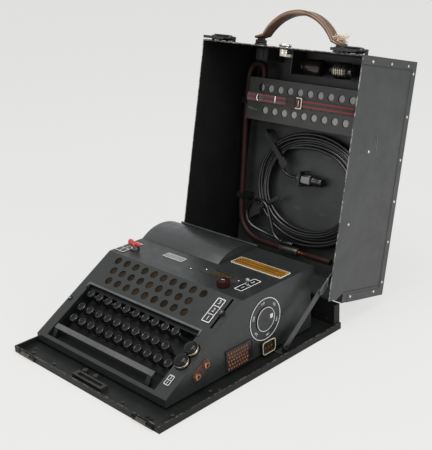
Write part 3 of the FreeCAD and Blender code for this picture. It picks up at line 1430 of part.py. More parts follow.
def cable_connector():
    """The cords' shared end: a metal gland with the lead's sleeve, a bare neck and a body in a saddle."""
    x, y, z = (f"({start} + {offset})" for start, offset in zip(CABLE_START, CABLE_ROUTE[-1]))
    forms = []
    for name, offset, length, radius in (
            ("gland", "0", "gland_long", "gland_radius"),
            ("neck", "gland_long", "neck_long", "gland_radius / 2"),
            ("body", "(gland_long + neck_long)", "connector_long", "cable_diameter / 2")):
        forms.append(rod(f"connector_{name}", "x", f"{x} + {offset}", y, z, radius, length))
    forms.append(rod("lead_sleeve", "x", x, f"{y} - sleeve_off", z, "sleeve_radius", "sleeve_long"))
    forms.append(box("connector_saddle", f"{x} + gland_radius / 2", f"{y} - gland_radius / 2", z,
                     "gland_radius", "gland_radius", f"lid_inside - {z}"))
    return fuse("cable_connector", *forms)


def lid_fittings():
    """Coil hooks, clips, brackets, the stowed pieces, the lock, the ears and the stay's stud."""
    pieces = [coil_hook(index, *hook) for index, hook in enumerate(COIL_HOOKS)]
    pieces.append(plug_clip())
    pieces.append(cable_clip("cable_clip_rear", CLIP_REAR))
    pieces.append(cable_clip("cable_clip_front", CLIP_FRONT))
    pieces.append(stowed_adapter())
    pieces.append(spare_holder())
    pieces.append(cable_connector())
    pieces.append(stowed_plug())
    pieces.append(box("stow_partition", "-partition_from_middle", "lid_front_in",
                      "lid_inside - partition_tall", "partition_thick", "partition_deep", "partition_tall"))
    pieces.append(rod("lock_barrel", "y", 0, "tray_front - lock_out", "lock_rise",
                      "lock_radius", "lock_long + lock_out"))
    handle_base = "(loop_long / 2 + side_gap + 2 * ear_thick)"
    latch_inner = "(tray_right - catch_inset - latch_wide / 2 - side_gap - 2 * ear_thick)"
    for side in (-1, 1):
        middle = f"({side} * handle_half)"
        pieces.append(ear_pair(f"handle_ears_{side + 1}", middle, "loop_long / 2", "handle_pivot_y",
                               "handle_rise", f"{middle} - {handle_base}", f"{middle} + {handle_base}"))
    for side, left, right in (
            (-1, "tray_left + strip_wide", f"-{latch_inner}"), (1, latch_inner, "tray_right - strip_wide")):
        pieces.append(ear_pair(f"latch_ears_{side + 1}", f"({side} * (tray_right - catch_inset))",
                               "latch_wide / 2", "latch_pivot_y", "latch_pivot_z", left, right))
    stud_x = "link_x + stay_thick + side_gap"
    pieces.append(rod("stay_stud", "x", stud_x, "link_pivot_y", "link_pivot_rise",
                      "stay_pin_radius", f"lid_right_in - ({stud_x})"))
    sub_part("lid_fittings", on_lid(group("lid_fittings_group", *pieces)))


def remote_lamp_panel():
    """Second lamp field stowed in the lid: a flat box with 28 windows, a film and bulbs inside."""
    wide = "panel_right - panel_left"
    outer = box("panel_outer", "panel_left", "panel_front", "panel_face", wide, "panel_tall", "panel_deep")
    room = box("panel_room", "panel_left + panel_face_wall", "panel_front + panel_face_wall",
               "panel_face + panel_face_wall", f"{wide} - 2 * panel_face_wall",
               "panel_tall - 2 * panel_face_wall", "panel_deep - 2 * panel_face_wall")
    windows = []
    bulbs = []
    for name, across, up in PANEL_LAMPS:
        windows.append(rod(f"panel_window_{name}", "z", across, up, "panel_face - panel_face_wall",
                           "lamp_radius", "3 * panel_face_wall"))
        bulbs.append(rod(f"panel_bulb_{name}", "z", across, up, "lid_inside - panel_face_wall - bulb_tall",
                         "bulb_radius", "bulb_tall"))
    film = box("panel_film", "panel_left + panel_face_wall", "panel_front + panel_face_wall",
               "panel_face + panel_face_wall", f"{wide} - 2 * panel_face_wall",
               "panel_tall - 2 * panel_face_wall", "film_thick")
    shell = cut("panel_shell", outer, room, *windows)
    sub_part("remote_lamp_panel", on_lid(group("remote_panel_group", shell, film, *bulbs)))


def panel_strap():
    """Webbing strap around the stowed panel, with its buckle."""
    reach = "(strap_thick + soft_gap)"
    wide = "panel_right - panel_left"
    outer = box("strap_outer", f"panel_left - {reach}", "strap_y - strap_wide / 2",
                f"panel_face - {reach}", f"{wide} + 2 * {reach}", "strap_wide", f"panel_deep + {reach}")
    inner = box("strap_inner", "panel_left - soft_gap", "strap_y - strap_wide", "panel_face - soft_gap",
                f"{wide} + 2 * soft_gap", "2 * strap_wide", "panel_deep + strap_thick")
    buckle_x = "panel_left + buckle_from_left"
    buckle = cut(
        "strap_buckle",
        box("buckle_plate", buckle_x, "strap_y - strap_wide / 2 - strap_thick",
            f"panel_face - {reach} - strap_thick", "strap_wide",
            "strap_wide + 2 * strap_thick", "strap_thick"),
        box("buckle_room", f"{buckle_x} + strap_thick", "strap_y - strap_wide / 4",
            f"panel_face - {reach} - 2 * strap_thick", "strap_wide / 2", "strap_wide / 2", "3 * strap_thick"),
    )
    sub_part("panel_strap", on_lid(group("panel_strap_group", cut("strap_loop", outer, inner), buckle)))


def carrying_handle():
    """Arched leather handle with metal loops at both ends."""
    middle_y = "handle_pivot_y - handle_arch + handle_radius"
    low = "handle_rise - handle_wide / 2"
    ring = cut(
        "handle_ring",
        rod("handle_disc", "z", 0, middle_y, low, "handle_radius", "handle_wide"),
        rod("handle_gap", "z", 0, middle_y, f"{low} - handle_thick",
            "handle_radius - handle_thick", "handle_wide + 2 * handle_thick"),
    )
    reach = box("handle_reach", "-handle_radius", "handle_pivot_y - 2 * handle_arch", low,
                "2 * handle_radius", "2 * handle_arch - handle_root", "handle_wide")
    forms = [common("handle_arch_body", ring, reach)]
    tab_left = "-handle_half - loop_long / 2"
    tab_right = "handle_half + loop_long / 2 - handle_tab_wide"
    for side, x in enumerate((tab_left, tab_right)):
        forms.append(box(f"handle_tab_{side}", x, "handle_pivot_y - handle_root - handle_thick / 2",
                         "handle_rise - handle_tab_tall / 2", "handle_tab_wide",
                         "handle_root / 2 + handle_thick / 2", "handle_tab_tall"))
    for side in (-1, 1):
        x = f"{side} * handle_half - loop_long / 2"
        forms.append(box(f"handle_neck_{side + 1}", x, "handle_pivot_y - handle_neck",
                         "handle_rise - loop_radius", "loop_long", "handle_neck", "2 * loop_radius"))
        forms.append(rod(f"handle_loop_{side + 1}", "x", x, "handle_pivot_y", "handle_rise", "loop_radius",
                         "loop_long"))
    bore = rod("handle_bore", "x", "-handle_half - loop_long", "handle_pivot_y", "handle_rise",
               "ear_pin_radius + running_gap", "2 * handle_half + 2 * loop_long")
    sub_part("carrying_handle", on_lid(cut("handle_body", fuse("handle_forms", *forms), bore)))


def lid_latches():
    """The two case latches: flat plates that hang from a pin and hook below the catches."""
    plates = []
    for side in (-1, 1):
        x = f"{side} * (tray_right - catch_inset) - latch_wide / 2"
        plate = box(f"latch_plate_{side + 1}", x, "latch_pivot_y - latch_thick / 2", "latch_hook_low",
                    "latch_wide", "latch_thick", "latch_pivot_z - latch_hook_low")
        hook = box(f"latch_hook_{side + 1}", x, "latch_pivot_y - latch_thick / 2", "latch_hook_low",
                   "latch_wide", "latch_hook", "latch_thick")
        barrel = rod(f"latch_barrel_{side + 1}", "x", x, "latch_pivot_y", "latch_pivot_z",
                     "knuckle_radius", "latch_wide")
        bore = rod(f"latch_bore_{side + 1}", "x", f"{x} - side_gap", "latch_pivot_y", "latch_pivot_z",
                   "ear_pin_radius + running_gap", "latch_wide + 2 * side_gap")
        plates.append(cut(f"latch_{side + 1}", fuse(f"latch_forms_{side + 1}", plate, hook, barrel), bore))
    sub_part("lid_latches", on_lid(group("lid_latches_group", *plates)))


# ---------------------------------------------------------------- cords stowed in the lid

def from_start(start, point):
    """A place on the shut lid, given from a named start."""
    return [size(formula) + offset for formula, offset in zip(start, point)]


ARC_SHARE = 0.45


def cord_tube(name, start_at, route, diameter):
    """A round cord: straight runs joined by the widest tangent arcs that they allow."""
    points = [FreeCAD.Vector(*from_start(start_at, point)) for point in route]
    edges = []
    start = points[0]
    radii = []
    for before, corner, after in zip(points, points[1:], points[2:]):
        back = (before - corner).normalize()
        on = (after - corner).normalize()
        half_turn = (math.pi - back.getAngle(on)) / 2
        reach = ARC_SHARE * min((before - corner).Length, (after - corner).Length)
        radii.append(reach / math.tan(half_turn))
        first = corner + back * reach
        last = corner + on * reach
        inward = (back + on).normalize()
        middle = corner + inward * (radii[-1] / math.cos(half_turn) - radii[-1])
        edges.append(Part.LineSegment(start, first).toShape())
        edges.append(Part.Arc(first, middle, last).toShape())
        start = last
    edges.append(Part.LineSegment(start, points[-1]).toShape())
    path = Part.Wire(edges)
    circle = Part.Circle(points[0], points[1] - points[0], diameter / 2)
    feature = doc.addObject("Part::Feature", name)
    feature.Shape = path.makePipeShell([Part.Wire(circle.toShape())], True, False)
    section = math.pi * diameter ** 2 / 4
    print(name, "length", round(path.Length, 1), "radii", [round(radius, 1) for radius in radii],
          "volume ratio", round(feature.Shape.Volume / (section * path.Length), 4))
    return feature


def lead_tail():
    """The mains lead on both sides of its coil: from the sleeve into the coil, and out of it to the plug."""
    first = cord_tube("lead_first_tube", CABLE_START, LEAD_FIRST, size("lead_diameter"))
    last = cord_tube("lead_last_tube", PLUG_START, LEAD_LAST, size("lead_diameter"))
    sub_part("lead_tail", on_lid(group("lead_tubes", first, last)))


def lamp_cable():
    """The stowed panel's cable, clipped along the lid's left side."""
    tube = cord_tube("lamp_cable_tube", CABLE_START, CABLE_ROUTE, size("cable_diameter"))
    sub_part("lamp_cable", on_lid(group("lamp_cable_group", tube)))


def coil_oval(name, low, radius, thick):
    """A flat oval form with round ends about the coil's two middles."""
    middle = box(f"{name}_middle", "coil_off_x", f"coil_y - {radius}", low,
                 "coil_stretch", f"2 * {radius}", thick)
    ends = []
    for side, x in (("left", "coil_off_x"), ("right", COIL_RIGHT)):
        ends.append(rod(f"{name}_{side}", "z", x, "coil_y", low, radius, thick))
    return fuse(name, middle, *ends)


def lead_coil():
    """Outer shape of the coiled mains lead."""
    outer = coil_oval("coil_outer_oval", "coil_z", "coil_outer", "coil_thick")
    eye = coil_oval("coil_eye", "coil_z - coil_thick", "coil_inner", "3 * coil_thick")
    sub_part("lead_coil", on_lid(cut("lead_coil_body", outer, eye)))


def lead_plug():
    """Round mains plug at the lead's end."""
    x = "coil_off_x + plug_from_coil_x"
    y = "coil_y + plug_from_coil_y"
    grip = "plug_long - plug_nose_long"
    body = rod("plug_body", "x", x, y, "plug_z", "plug_radius", grip)
    nose = rod("plug_nose", "x", f"{x} + {grip}", y, "plug_z", "plug_nose_radius", "plug_nose_long")
    sub_part("lead_plug", on_lid(fuse("lead_plug_body", body, nose)))


# ---------------------------------------------------------------- build and write

for build in (
        base_tray, tray_fittings, housing_shell, housing_trim, keyboard_deck, letter_keys, function_keys,
        lamp_board, drive_chassis, rotor_stack, rotor_cover, mode_lever, counter_reset_knob, toggle_knob,
        range_slider, voltage_selector, side_sockets, stay, lid_shell, lid_fittings, remote_lamp_panel,
        panel_strap, carrying_handle, lid_latches, lead_coil, lead_tail, lead_plug, lamp_cable):
    build()

doc.recompute()
failed = [item.Name for item in doc.Objects if {"Invalid", "Error"} & set(item.State)]
if failed:
    raise SystemExit(f"failed: {failed}")
for node in NODES:
    if node.Shape.isNull() or not node.Shape.isValid():
        raise SystemExit(f"bad shape: {node.Label}")

os.makedirs("parts", exist_ok=True)
for node in NODES:
    node.Shape.exportStep(f"parts/{node.Label}.step")
print(len(NODES), "sub-parts written")
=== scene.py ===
"""Looks of the ten-wheel rotor cipher machine in its open carrying case.

Pieces are built in millimetres in the frame that suits them (the sloping front, the shut lid, the
right-hand wall) and turned into the shared frame in metres when they are finished.
"""
import json
import random
from math import cos, pi, radians, sin, tau

import bmesh
import bpy
from mathutils import Matrix, Vector

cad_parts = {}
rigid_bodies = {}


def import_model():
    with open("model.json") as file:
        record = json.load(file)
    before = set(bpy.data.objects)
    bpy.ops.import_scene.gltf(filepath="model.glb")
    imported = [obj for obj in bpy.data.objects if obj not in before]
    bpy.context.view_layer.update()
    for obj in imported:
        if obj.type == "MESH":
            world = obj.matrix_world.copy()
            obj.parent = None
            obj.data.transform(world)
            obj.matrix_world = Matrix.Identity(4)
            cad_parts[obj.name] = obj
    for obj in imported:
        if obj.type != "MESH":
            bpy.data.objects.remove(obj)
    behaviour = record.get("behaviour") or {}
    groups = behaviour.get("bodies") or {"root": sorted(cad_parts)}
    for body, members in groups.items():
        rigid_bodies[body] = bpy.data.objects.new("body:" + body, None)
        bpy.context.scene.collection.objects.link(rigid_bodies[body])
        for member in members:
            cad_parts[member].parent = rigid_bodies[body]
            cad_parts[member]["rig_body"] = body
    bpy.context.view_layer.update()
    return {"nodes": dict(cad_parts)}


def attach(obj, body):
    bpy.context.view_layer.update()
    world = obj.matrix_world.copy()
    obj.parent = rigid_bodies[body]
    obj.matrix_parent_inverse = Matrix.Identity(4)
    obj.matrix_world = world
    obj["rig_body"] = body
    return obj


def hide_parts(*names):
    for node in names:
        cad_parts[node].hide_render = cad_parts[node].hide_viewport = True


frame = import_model()
nodes = frame["nodes"]
rng = random.Random(11)

# -------- places shared with the CAD model, mm

MM = 0.001
QUARTER = pi / 2
SLOPE_ANGLE = radians(30.4)
LIP_Y, LIP_Z = -144.157, 16.8
TOP_Z = 102.876
HOUSE_RIGHT = 130.0
LID_OPEN = radians(102.5)
HINGE_Y, HINGE_Z = 182.457, 41.0
TRAY_FRONT, TRAY_SIDE = -182.457, 160.0


def shift(x, y, z):
    return Matrix.Translation((x, y, z))


def spin(angle, axis):
    return Matrix.Rotation(angle, 4, axis)


ROOM = Matrix()
SLOPE = shift(0, LIP_Y, LIP_Z) @ spin(SLOPE_ANGLE, "X")
LID = shift(0, HINGE_Y, HINGE_Z) @ spin(-LID_OPEN, "X") @ shift(0, -HINGE_Y, -HINGE_Z)
TOP = shift(0, 0, TOP_Z)
SIDE = Matrix(((0, 0, 1, HOUSE_RIGHT), (1, 0, 0, 0), (0, 1, 0, 0), (0, 0, 0, 1)))


def world(at, x, y, z):
    """A place of a frame, in metres in the shared frame."""
    return (at @ Vector((x, y, z))) * MM


def add(name, data):
    """Puts a new object into the scene."""
    made = bpy.data.objects.new(name, data)
    bpy.context.scene.collection.objects.link(made)
    return made


# -------- node trees

class Nodes:
    """The node tree of a world or material, with short calls to fill it."""

    def __init__(self, owner):
        self.owner = owner
        owner.use_nodes = True
        self.tree = owner.node_tree

    def feed(self, node, values):
        """Sets a node's inputs, by name or number, to values or to the outputs of other nodes."""
        for name, value in values.items():
            if isinstance(value, bpy.types.NodeSocket):
                self.tree.links.new(value, node.inputs[name])
            else:
                node.inputs[name].default_value = value

    def new(self, kind, values, **settings):
        node = self.tree.nodes.new("ShaderNode" + kind)
        for key, value in settings.items():
            setattr(node, key, value)
        self.feed(node, values)
        return node

    def math(self, operation, first, second):
        return self.new("Math", {0: first, 1: second}, operation=operation).outputs[0]

    def show(self, lit, seen, share, output):
        """Lets the camera see a shader for a share of the one that lights the scene."""
        rays = self.new("LightPath", {}).outputs["Is Camera Ray"]
        share = self.math("MULTIPLY", rays, share)
        both = self.new("MixShader", {"Fac": share, 1: lit.outputs[0], 2: seen.outputs[0]})
        self.feed(self.tree.nodes[output], {"Surface": both.outputs[0]})


class Finish(Nodes):
    """A material's node tree, with the patterns and sums that the surfaces share."""

    def __init__(self, name):
        super().__init__(bpy.data.materials.new(name))
        self.shader = self.tree.nodes["Principled BSDF"]
        self.place = self.new("TexCoord", {}).outputs["Object"]

    def noise(self, scale, detail=3.0, stretch=None):
        """Noise in the object's own space, in features per metre."""
        where = self.place
        if stretch:
            where = self.new("Mapping", {"Vector": where, "Scale": stretch}).outputs[0]
        return self.new("TexNoise", {"Vector": where, "Scale": scale, "Detail": detail}).outputs["Fac"]

    def span(self, value, low, high, to_low=0.0, to_high=1.0):
        """A value mapped from one range to another and kept inside it."""
        return self.new("MapRange", {"Value": value, "From Min": low, "From Max": high, "To Min": to_low,
                                     "To Max": to_high}).outputs["Result"]

    def blend(self, factor, first, second):
        """A colour between two others."""
        first, second = ((*end, 1.0) if isinstance(end, tuple) else end for end in (first, second))
        return self.new("Mix", {"Factor": factor, 6: first, 7: second}, data_type="RGBA").outputs[2]

    def near_plane(self, direction, offset, width):
        """1 on a plane of the object's own space, falling to 0 a width away."""
        dot = self.new("VectorMath", {0: self.place, 1: direction}, operation="DOT_PRODUCT")
        away = self.math("ABSOLUTE", self.math("SUBTRACT", dot.outputs["Value"], offset), 0.0)
        return self.span(away, width * 0.4, width, 1.0, 0.0)

    def bump(self, height, strength, distance):
        """Relief from a pattern, with its depth in metres."""
        relief = self.new("Bump", {"Strength": strength, "Distance": distance, "Height": height})
        self.feed(self.shader, {"Normal": relief.outputs[0]})


# -------- camera, light and floor

AZIMUTH, ELEVATION, ROLL = radians(45.2135), radians(19.4921), radians(-2.4138)
FOCAL_PX, FRAME_TALL = 851.144, 450
OPTIC_X, OPTIC_Y = 8.46, -12.144
CAMERA_PLACE = (0.857015, -0.745999, 0.598944)


def make_camera():
    """The photograph's camera: place, turn, focal length and the shift of its crop."""
    back = Vector((sin(AZIMUTH) * cos(ELEVATION), -cos(AZIMUTH) * cos(ELEVATION), sin(ELEVATION)))
    right = (-back).cross(Vector((0, 0, 1))).normalized()
    up = right.cross(-back)
    turned_right = cos(ROLL) * right + sin(ROLL) * up
    turned_up = -sin(ROLL) * right + cos(ROLL) * up
    data = bpy.data.cameras.new("camera")
    data.sensor_width = 36.0
    data.lens = FOCAL_PX / FRAME_TALL * data.sensor_width
    data.shift_x = -OPTIC_X / FRAME_TALL
    data.shift_y = OPTIC_Y / FRAME_TALL
    data.clip_start, data.clip_end = 0.05, 100.0
    camera = add("camera", data)
    turn = Matrix((turned_right, turned_up, back)).transposed()
    camera.matrix_world = shift(*CAMERA_PLACE) @ turn.to_4x4()
    bpy.context.scene.camera = camera


def softbox(name, place, aim, wide, tall, power):
    """A studio softbox that looks at a point."""
    data = bpy.data.lights.new(name, "AREA")
    data.shape = "RECTANGLE"
    data.size, data.size_y, data.energy = wide, tall, power
    lamp = add(name, data)
    lamp.location = place
    lamp.rotation_mode = "QUATERNION"
    lamp.rotation_quaternion = (Vector(aim) - Vector(place)).to_track_quat("-Z", "Y")


BACKGROUND = (0.80, 0.795, 0.775, 1.0)
BACKDROP = (0.79, 0.786, 0.775, 1.0)
EVEN_SHARE = 0.86


def make_studio():
    """World, softboxes and a pale floor that the camera sees mostly as one even tone."""
    scene = bpy.context.scene
    scene.view_settings.view_transform = "Standard"
    sky = Nodes(bpy.data.worlds.new("studio"))
    light = sky.tree.nodes["Background"]
    sky.feed(light, {"Color": (0.97, 0.98, 1.0, 1), "Strength": 0.8})
    sky.show(light, sky.new("Background", {"Color": BACKGROUND}), 1.0, "World Output")
    scene.world = sky.owner
    softbox("top_box", (0.2, -0.5, 2.1), (0.0, 0.05, 0.1), 1.5, 1.3, 40)
    softbox("right_box", (2.2, 0.1, 0.9), (0.1, 0.1, 0.15), 1.4, 1.4, 34)
    softbox("front_box", (-0.4, -2.3, 1.0), (0.0, 0.0, 0.15), 1.2, 1.0, 9)

    disc = bmesh.new()
    bmesh.ops.create_circle(disc, cap_ends=True, radius=14.0, segments=96)
    mesh = bpy.data.meshes.new("floor")
    disc.to_mesh(mesh)
    disc.free()
    paper = Nodes(bpy.data.materials.new("floor_paper"))
    shader = paper.tree.nodes["Principled BSDF"]
    paper.feed(shader, {"Base Color": (0.62, 0.618, 0.605, 1), "Roughness": 0.7, "Specular IOR Level": 0.2})
    even = paper.new("Emission", {"Color": BACKDROP})
    paper.show(shader, even, EVEN_SHARE, "Material Output")
    mesh.materials.append(paper.owner)
    add("floor", mesh)


make_camera()
make_studio()


# -------- materials

def shade(colour, share):
    """A colour made lighter or darker."""
    return tuple(min(1.0, channel * share) for channel in colour)


def surface(name, colour, rough, metal=0.0, patches=0.2, patch_scale=30.0, dust=0.12, dust_colour=None,
            grain=900.0, relief=0.12, spread=0.07, scratches=0.0, worn=(), wear_and_highlight_colour=(0.3, 0.3, 0.29),
            specular=0.5, coat=0.0):
    """A painted, moulded or metal surface with patches, dust, fine relief, scratches and worn edges; on the
    lid the lighter rim line is also a painted highlight.
    """
    n = Finish(name)
    broad = n.span(n.noise(patch_scale, 5.0), 0.3, 0.7)
    base = n.blend(broad, shade(colour, 1 - patches), shade(colour, 1 + patches))
    fine = n.noise(grain, 2.0)
    specks = n.math("MULTIPLY", n.span(fine, 0.62, 0.75), dust)
    base = n.blend(specks, base, dust_colour or shade(colour, 2.6))
    if scratches:
        lines = n.span(n.noise(26.0, 6.0, (1.0, 22.0, 3.0)), 0.66, 0.69)
        base = n.blend(n.math("MULTIPLY", lines, scratches), base, wear_and_highlight_colour)
    # Lighter broken lines along edge planes: worn paint, and on the lid's rim also a painted highlight.
    for direction, offset, width in worn:
        broken = n.span(n.noise(160.0, 4.0), 0.45, 0.62)
        edge = n.math("MULTIPLY", n.near_plane(direction, offset, width), broken)
        base = n.blend(edge, base, wear_and_highlight_colour)
    gloss = n.span(n.noise(patch_scale * 2.3, 3.0), 0.3, 0.7, rough - spread, rough + spread)
    n.bump(fine, relief, 0.0004)
    n.feed(n.shader, {"Base Color": base, "Roughness": gloss, "Metallic": metal,
                      "Specular IOR Level": specular, "Coat Weight": coat})
    return n.owner


# The planes of the tray's rim and of the lid's, in metres, where the paint is worn; the lid's lighter rim
# line is also a painted highlight.
UP, TRAY_RIM = (0.0, 0.0, 1.0), 0.010
LID_NORMAL = (0.0, sin(LID_OPEN), cos(LID_OPEN))
LID_RIM = (LID @ Vector((0, 0, 10.3))).dot(Vector(LID_NORMAL)) * MM
SLATE = (0.014, 0.0155, 0.015)

CASE = surface("case_paint", (0.0085, 0.0095, 0.0085), 0.38, scratches=0.15, relief=0.22, grain=1300.0,
               worn=((UP, TRAY_RIM, 0.0007),), wear_and_highlight_colour=(0.06, 0.058, 0.052), specular=0.13)
# The lid's lighter rim line is worn paint and a painted highlight along its edge.
LID_PAINT = surface("lid_paint", (0.024, 0.0255, 0.025), 0.40, scratches=0.10, relief=0.2, grain=1300.0,
                    worn=((LID_NORMAL, LID_RIM, 0.0008),), wear_and_highlight_colour=(0.22, 0.215, 0.20), dust=0.05)
BODY = surface("body_paint", SLATE, 0.33, patches=0.12, relief=0.16, grain=1500.0, dust=0.08, specular=0.38)
COVER = surface("cover_paint", SLATE, 0.35, patches=0.12, relief=0.16, grain=1500.0, dust=0.08,
                specular=0.6)
DECK = surface("deck_paint", (0.0045, 0.005, 0.0055), 0.5, specular=0.25)
BAR = surface("bar_paint", (0.052, 0.053, 0.048), 0.3, patches=0.25)
BEAD = surface("bead_paint", (0.06, 0.064, 0.064), 0.25, patches=0.25)
PANEL = surface("panel_paint", (0.028, 0.0275, 0.0255), 0.42, patches=0.15, relief=0.2, scratches=0.2)
FILM = surface("lamp_film", (0.013, 0.0078, 0.0034), 0.5, patches=0.8, patch_scale=46.0, dust=0.1,
               specular=0.08)
PALE_FILM = surface("pale_film", (0.25, 0.25, 0.235), 0.35, patches=0.06, dust=0.05)
GLASS = surface("bulb_glass", (0.55, 0.52, 0.42), 0.15, patches=0.1, specular=0.8)
ZINC = surface("zinc_steel", (0.20, 0.20, 0.19), 0.38, metal=0.85, patches=0.25, scratches=0.3)
GILT = surface("gilt_metal", (0.42, 0.37, 0.28), 0.24, metal=1.0, patches=0.25, relief=0.05, dust=0.05)
NICKEL = surface("nickel", (0.62, 0.59, 0.52), 0.2, metal=1.0, patches=0.15, relief=0.05, dust=0.05)
BRASS = surface("brass", (0.42, 0.26, 0.09), 0.35, metal=0.9, patches=0.3)
RUST = surface("rust_steel", (0.020, 0.0185, 0.0175), 0.42, metal=0.35, patches=0.5, patch_scale=90.0,
               dust=0.35, dust_colour=(0.15, 0.075, 0.035), relief=0.4)
DARK_STEEL = surface("dark_steel", (0.045, 0.045, 0.043), 0.4, metal=0.6, patches=0.3)
ROTOR = surface("rotor_metal", (0.16, 0.155, 0.14), 0.35, metal=0.8)
RIM = surface("key_rim", (0.10, 0.097, 0.088), 0.2, metal=0.95, patches=0.35, relief=0.05, dust=0.05)
KEY_TOP = surface("key_top", (0.006, 0.006, 0.0065), 0.10, patches=0.15, relief=0.03, dust=0.05,
                  spread=0.03, specular=0.16)
KEY_SIDE = surface("key_side", (0.005, 0.005, 0.006), 0.12, relief=0.05, dust=0.05, specular=0.9)
STEM = surface("key_stem", (0.040, 0.041, 0.040), 0.32, metal=0.4, patches=0.25)
SHELL = surface("plug_shell", (0.085, 0.082, 0.075), 0.26, metal=0.8, patches=0.5, patch_scale=90.0)
# Darker finish for the lid's inner left wall: painted shade, not a different paint.
SHADED_WALL = surface("lid_inner_paint", (0.006, 0.006, 0.0062), 0.6, dust=0.06, specular=0.15)
BLACK = surface("key_plastic", (0.010, 0.010, 0.010), 0.2, patches=0.15, relief=0.05, dust=0.06)
BAKELITE = surface("bakelite", (0.012, 0.008, 0.006), 0.16, patches=0.35, relief=0.05)
RED = surface("red_plastic", (0.33, 0.022, 0.014), 0.28, dust=0.1, coat=0.2)
DARK_RED = surface("dark_red_plastic", (0.016, 0.004, 0.0038), 0.4, patches=0.3, specular=0.08)
WHITE = surface("white_line", (0.44, 0.44, 0.42), 0.45, patches=0.1, dust=0.1, dust_colour=(0.3, 0.3, 0.28))
PLATE_GREY = surface("plate_alloy", (0.19, 0.19, 0.178), 0.42, metal=0.3, patches=0.18, scratches=0.4)
# Black of labels and print, also used to paint shade in window holes and edge grooves.
INK_AND_SHADE = surface("label_black", (0.008, 0.008, 0.009), 0.3)
OCHRE = surface("ochre_plate", (0.155, 0.068, 0.006), 0.35, patches=0.25, patch_scale=60.0, dust=0.15,
                dust_colour=(0.24, 0.13, 0.03), specular=0.25)
CREAM = surface("cream_frame", (0.42, 0.40, 0.31), 0.4, patches=0.15)
AMBER = surface("counter_window", (0.020, 0.012, 0.004), 0.15, patches=0.3, dust=0.05)
DRUM = surface("counter_drum", (0.050, 0.032, 0.014), 0.4, patches=0.3, specular=0.2)
RUBBER = surface("lead_rubber", (0.006, 0.006, 0.006), 0.2, patches=0.25, relief=0.02, dust=0.03,
                 specular=0.6)
FOOT_RUBBER = surface("foot_rubber", (0.014, 0.014, 0.013), 0.65, relief=0.3)
CABLE = surface("cable_cover", (0.017, 0.0055, 0.004), 0.5, patches=0.35, patch_scale=110.0, relief=0.5,
                grain=1600.0, dust=0.2, dust_colour=(0.05, 0.02, 0.014), specular=0.2)
COPPER = surface("copper_ring", (0.16, 0.045, 0.015), 0.3, metal=0.8, patches=0.3)
INSULATION = surface("brown_insulation", (0.026, 0.010, 0.006), 0.38, patches=0.4, patch_scale=200.0)
PINS = surface("socket_pins", (0.14, 0.062, 0.034), 0.3, metal=0.5, patches=0.4, patch_scale=300.0)
WELL = surface("inlet_well", (0.026, 0.018, 0.007), 0.35, patches=0.3)
# Dark paint of hooks, sleeves and brackets; on the stow partition plate it also paints shade.
HOOK_PAINT_AND_SHADE = surface("hook_paint", (0.012, 0.0125, 0.012), 0.4)
BROWN_STEEL = surface("brown_steel", (0.050, 0.040, 0.028), 0.4, metal=0.4, patches=0.5, patch_scale=90.0)
KEEPER = surface("strap_keeper", (0.020, 0.009, 0.007), 0.4, patches=0.3)
RIVET = surface("bright_rivet", (0.42, 0.41, 0.38), 0.3, metal=0.7, patches=0.3)
SCUFF = surface("bare_scratch", (0.20, 0.20, 0.19), 0.4, metal=0.4, patches=0.3)
FIBRE = surface("loose_fibre", (0.48, 0.39, 0.28), 0.8, relief=0.3)
TAN = surface("worn_leather_edge", (0.30, 0.195, 0.12), 0.6, patches=0.3, patch_scale=80.0, relief=0.6,
              grain=700.0)
THREAD = surface("thread", (0.42, 0.36, 0.27), 0.8, relief=0.6)


def leather():
    """Brown hide with a fine cracked grain and paler rubbed patches."""
    n = Finish("handle_leather")
    cells = n.new("TexVoronoi", {"Scale": 620.0, "Vector": n.place}, feature="DISTANCE_TO_EDGE")
    cracks = n.span(cells.outputs["Distance"], 0.0, 0.25)
    hide = n.blend(n.span(n.noise(45.0, 6.0), 0.35, 0.7), (0.055, 0.024, 0.014), (0.17, 0.080, 0.042))
    rubbed = n.math("MULTIPLY", n.span(n.noise(20.0, 5.0), 0.56, 0.72), 0.55)
    hide = n.blend(rubbed, hide, (0.27, 0.16, 0.10))
    deep = n.math("MULTIPLY", n.math("SUBTRACT", 1.0, cracks), 0.5)
    n.bump(cracks, 0.4, 0.0004)
    n.feed(n.shader, {"Base Color": n.blend(deep, hide, (0.03, 0.014, 0.009)),
                      "Roughness": n.span(n.noise(90.0), 0.3, 0.7, 0.38, 0.6)})
    return n.owner


def webbing(name, colour):
    """Woven band: fine ribs across, with lighter threads."""
    n = Finish(name)
    ribs = n.new("TexWave", {"Scale": 420.0, "Distortion": 1.5, "Vector": n.place}, wave_type="BANDS",
                 bands_direction="X").outputs["Fac"]
    threads = n.blend(ribs, shade(colour, 0.6), shade(colour, 1.3))
    stray = n.math("MULTIPLY", n.noise(500.0, 4.0), 0.35)
    n.bump(ribs, 0.6, 0.0005)
    n.feed(n.shader, {"Base Color": n.blend(stray, threads, shade(colour, 2.0)), "Roughness": 0.85,
                      "Sheen Weight": 0.3})
    return n.owner


LEATHER = leather()
RED_WEB = webbing("webbing_red", (0.25, 0.022, 0.034))
GREEN_WEB = webbing("webbing_green", (0.030, 0.034, 0.022))


# -------- mesh building

def turn_to(axis):
    """A turn that lays local z along an axis."""
    return {"z": ROOM, "x": spin(QUARTER, "Y"), "y": spin(-QUARTER, "X")}[axis]


def rounded(wide, tall, radius, steps=4):
    """Corners of a rectangle about the origin with rounded corners."""
    radius = min(radius, wide / 2, tall / 2)
    corners = []
    for index, (side_x, side_y) in enumerate(((1, 1), (-1, 1), (-1, -1), (1, -1))):
        for step in range(steps + 1):
            angle = QUARTER * (index + step / steps)
            corners.append((side_x * (wide / 2 - radius) + radius * cos(angle),
                            side_y * (tall / 2 - radius) + radius * sin(angle)))
    return corners


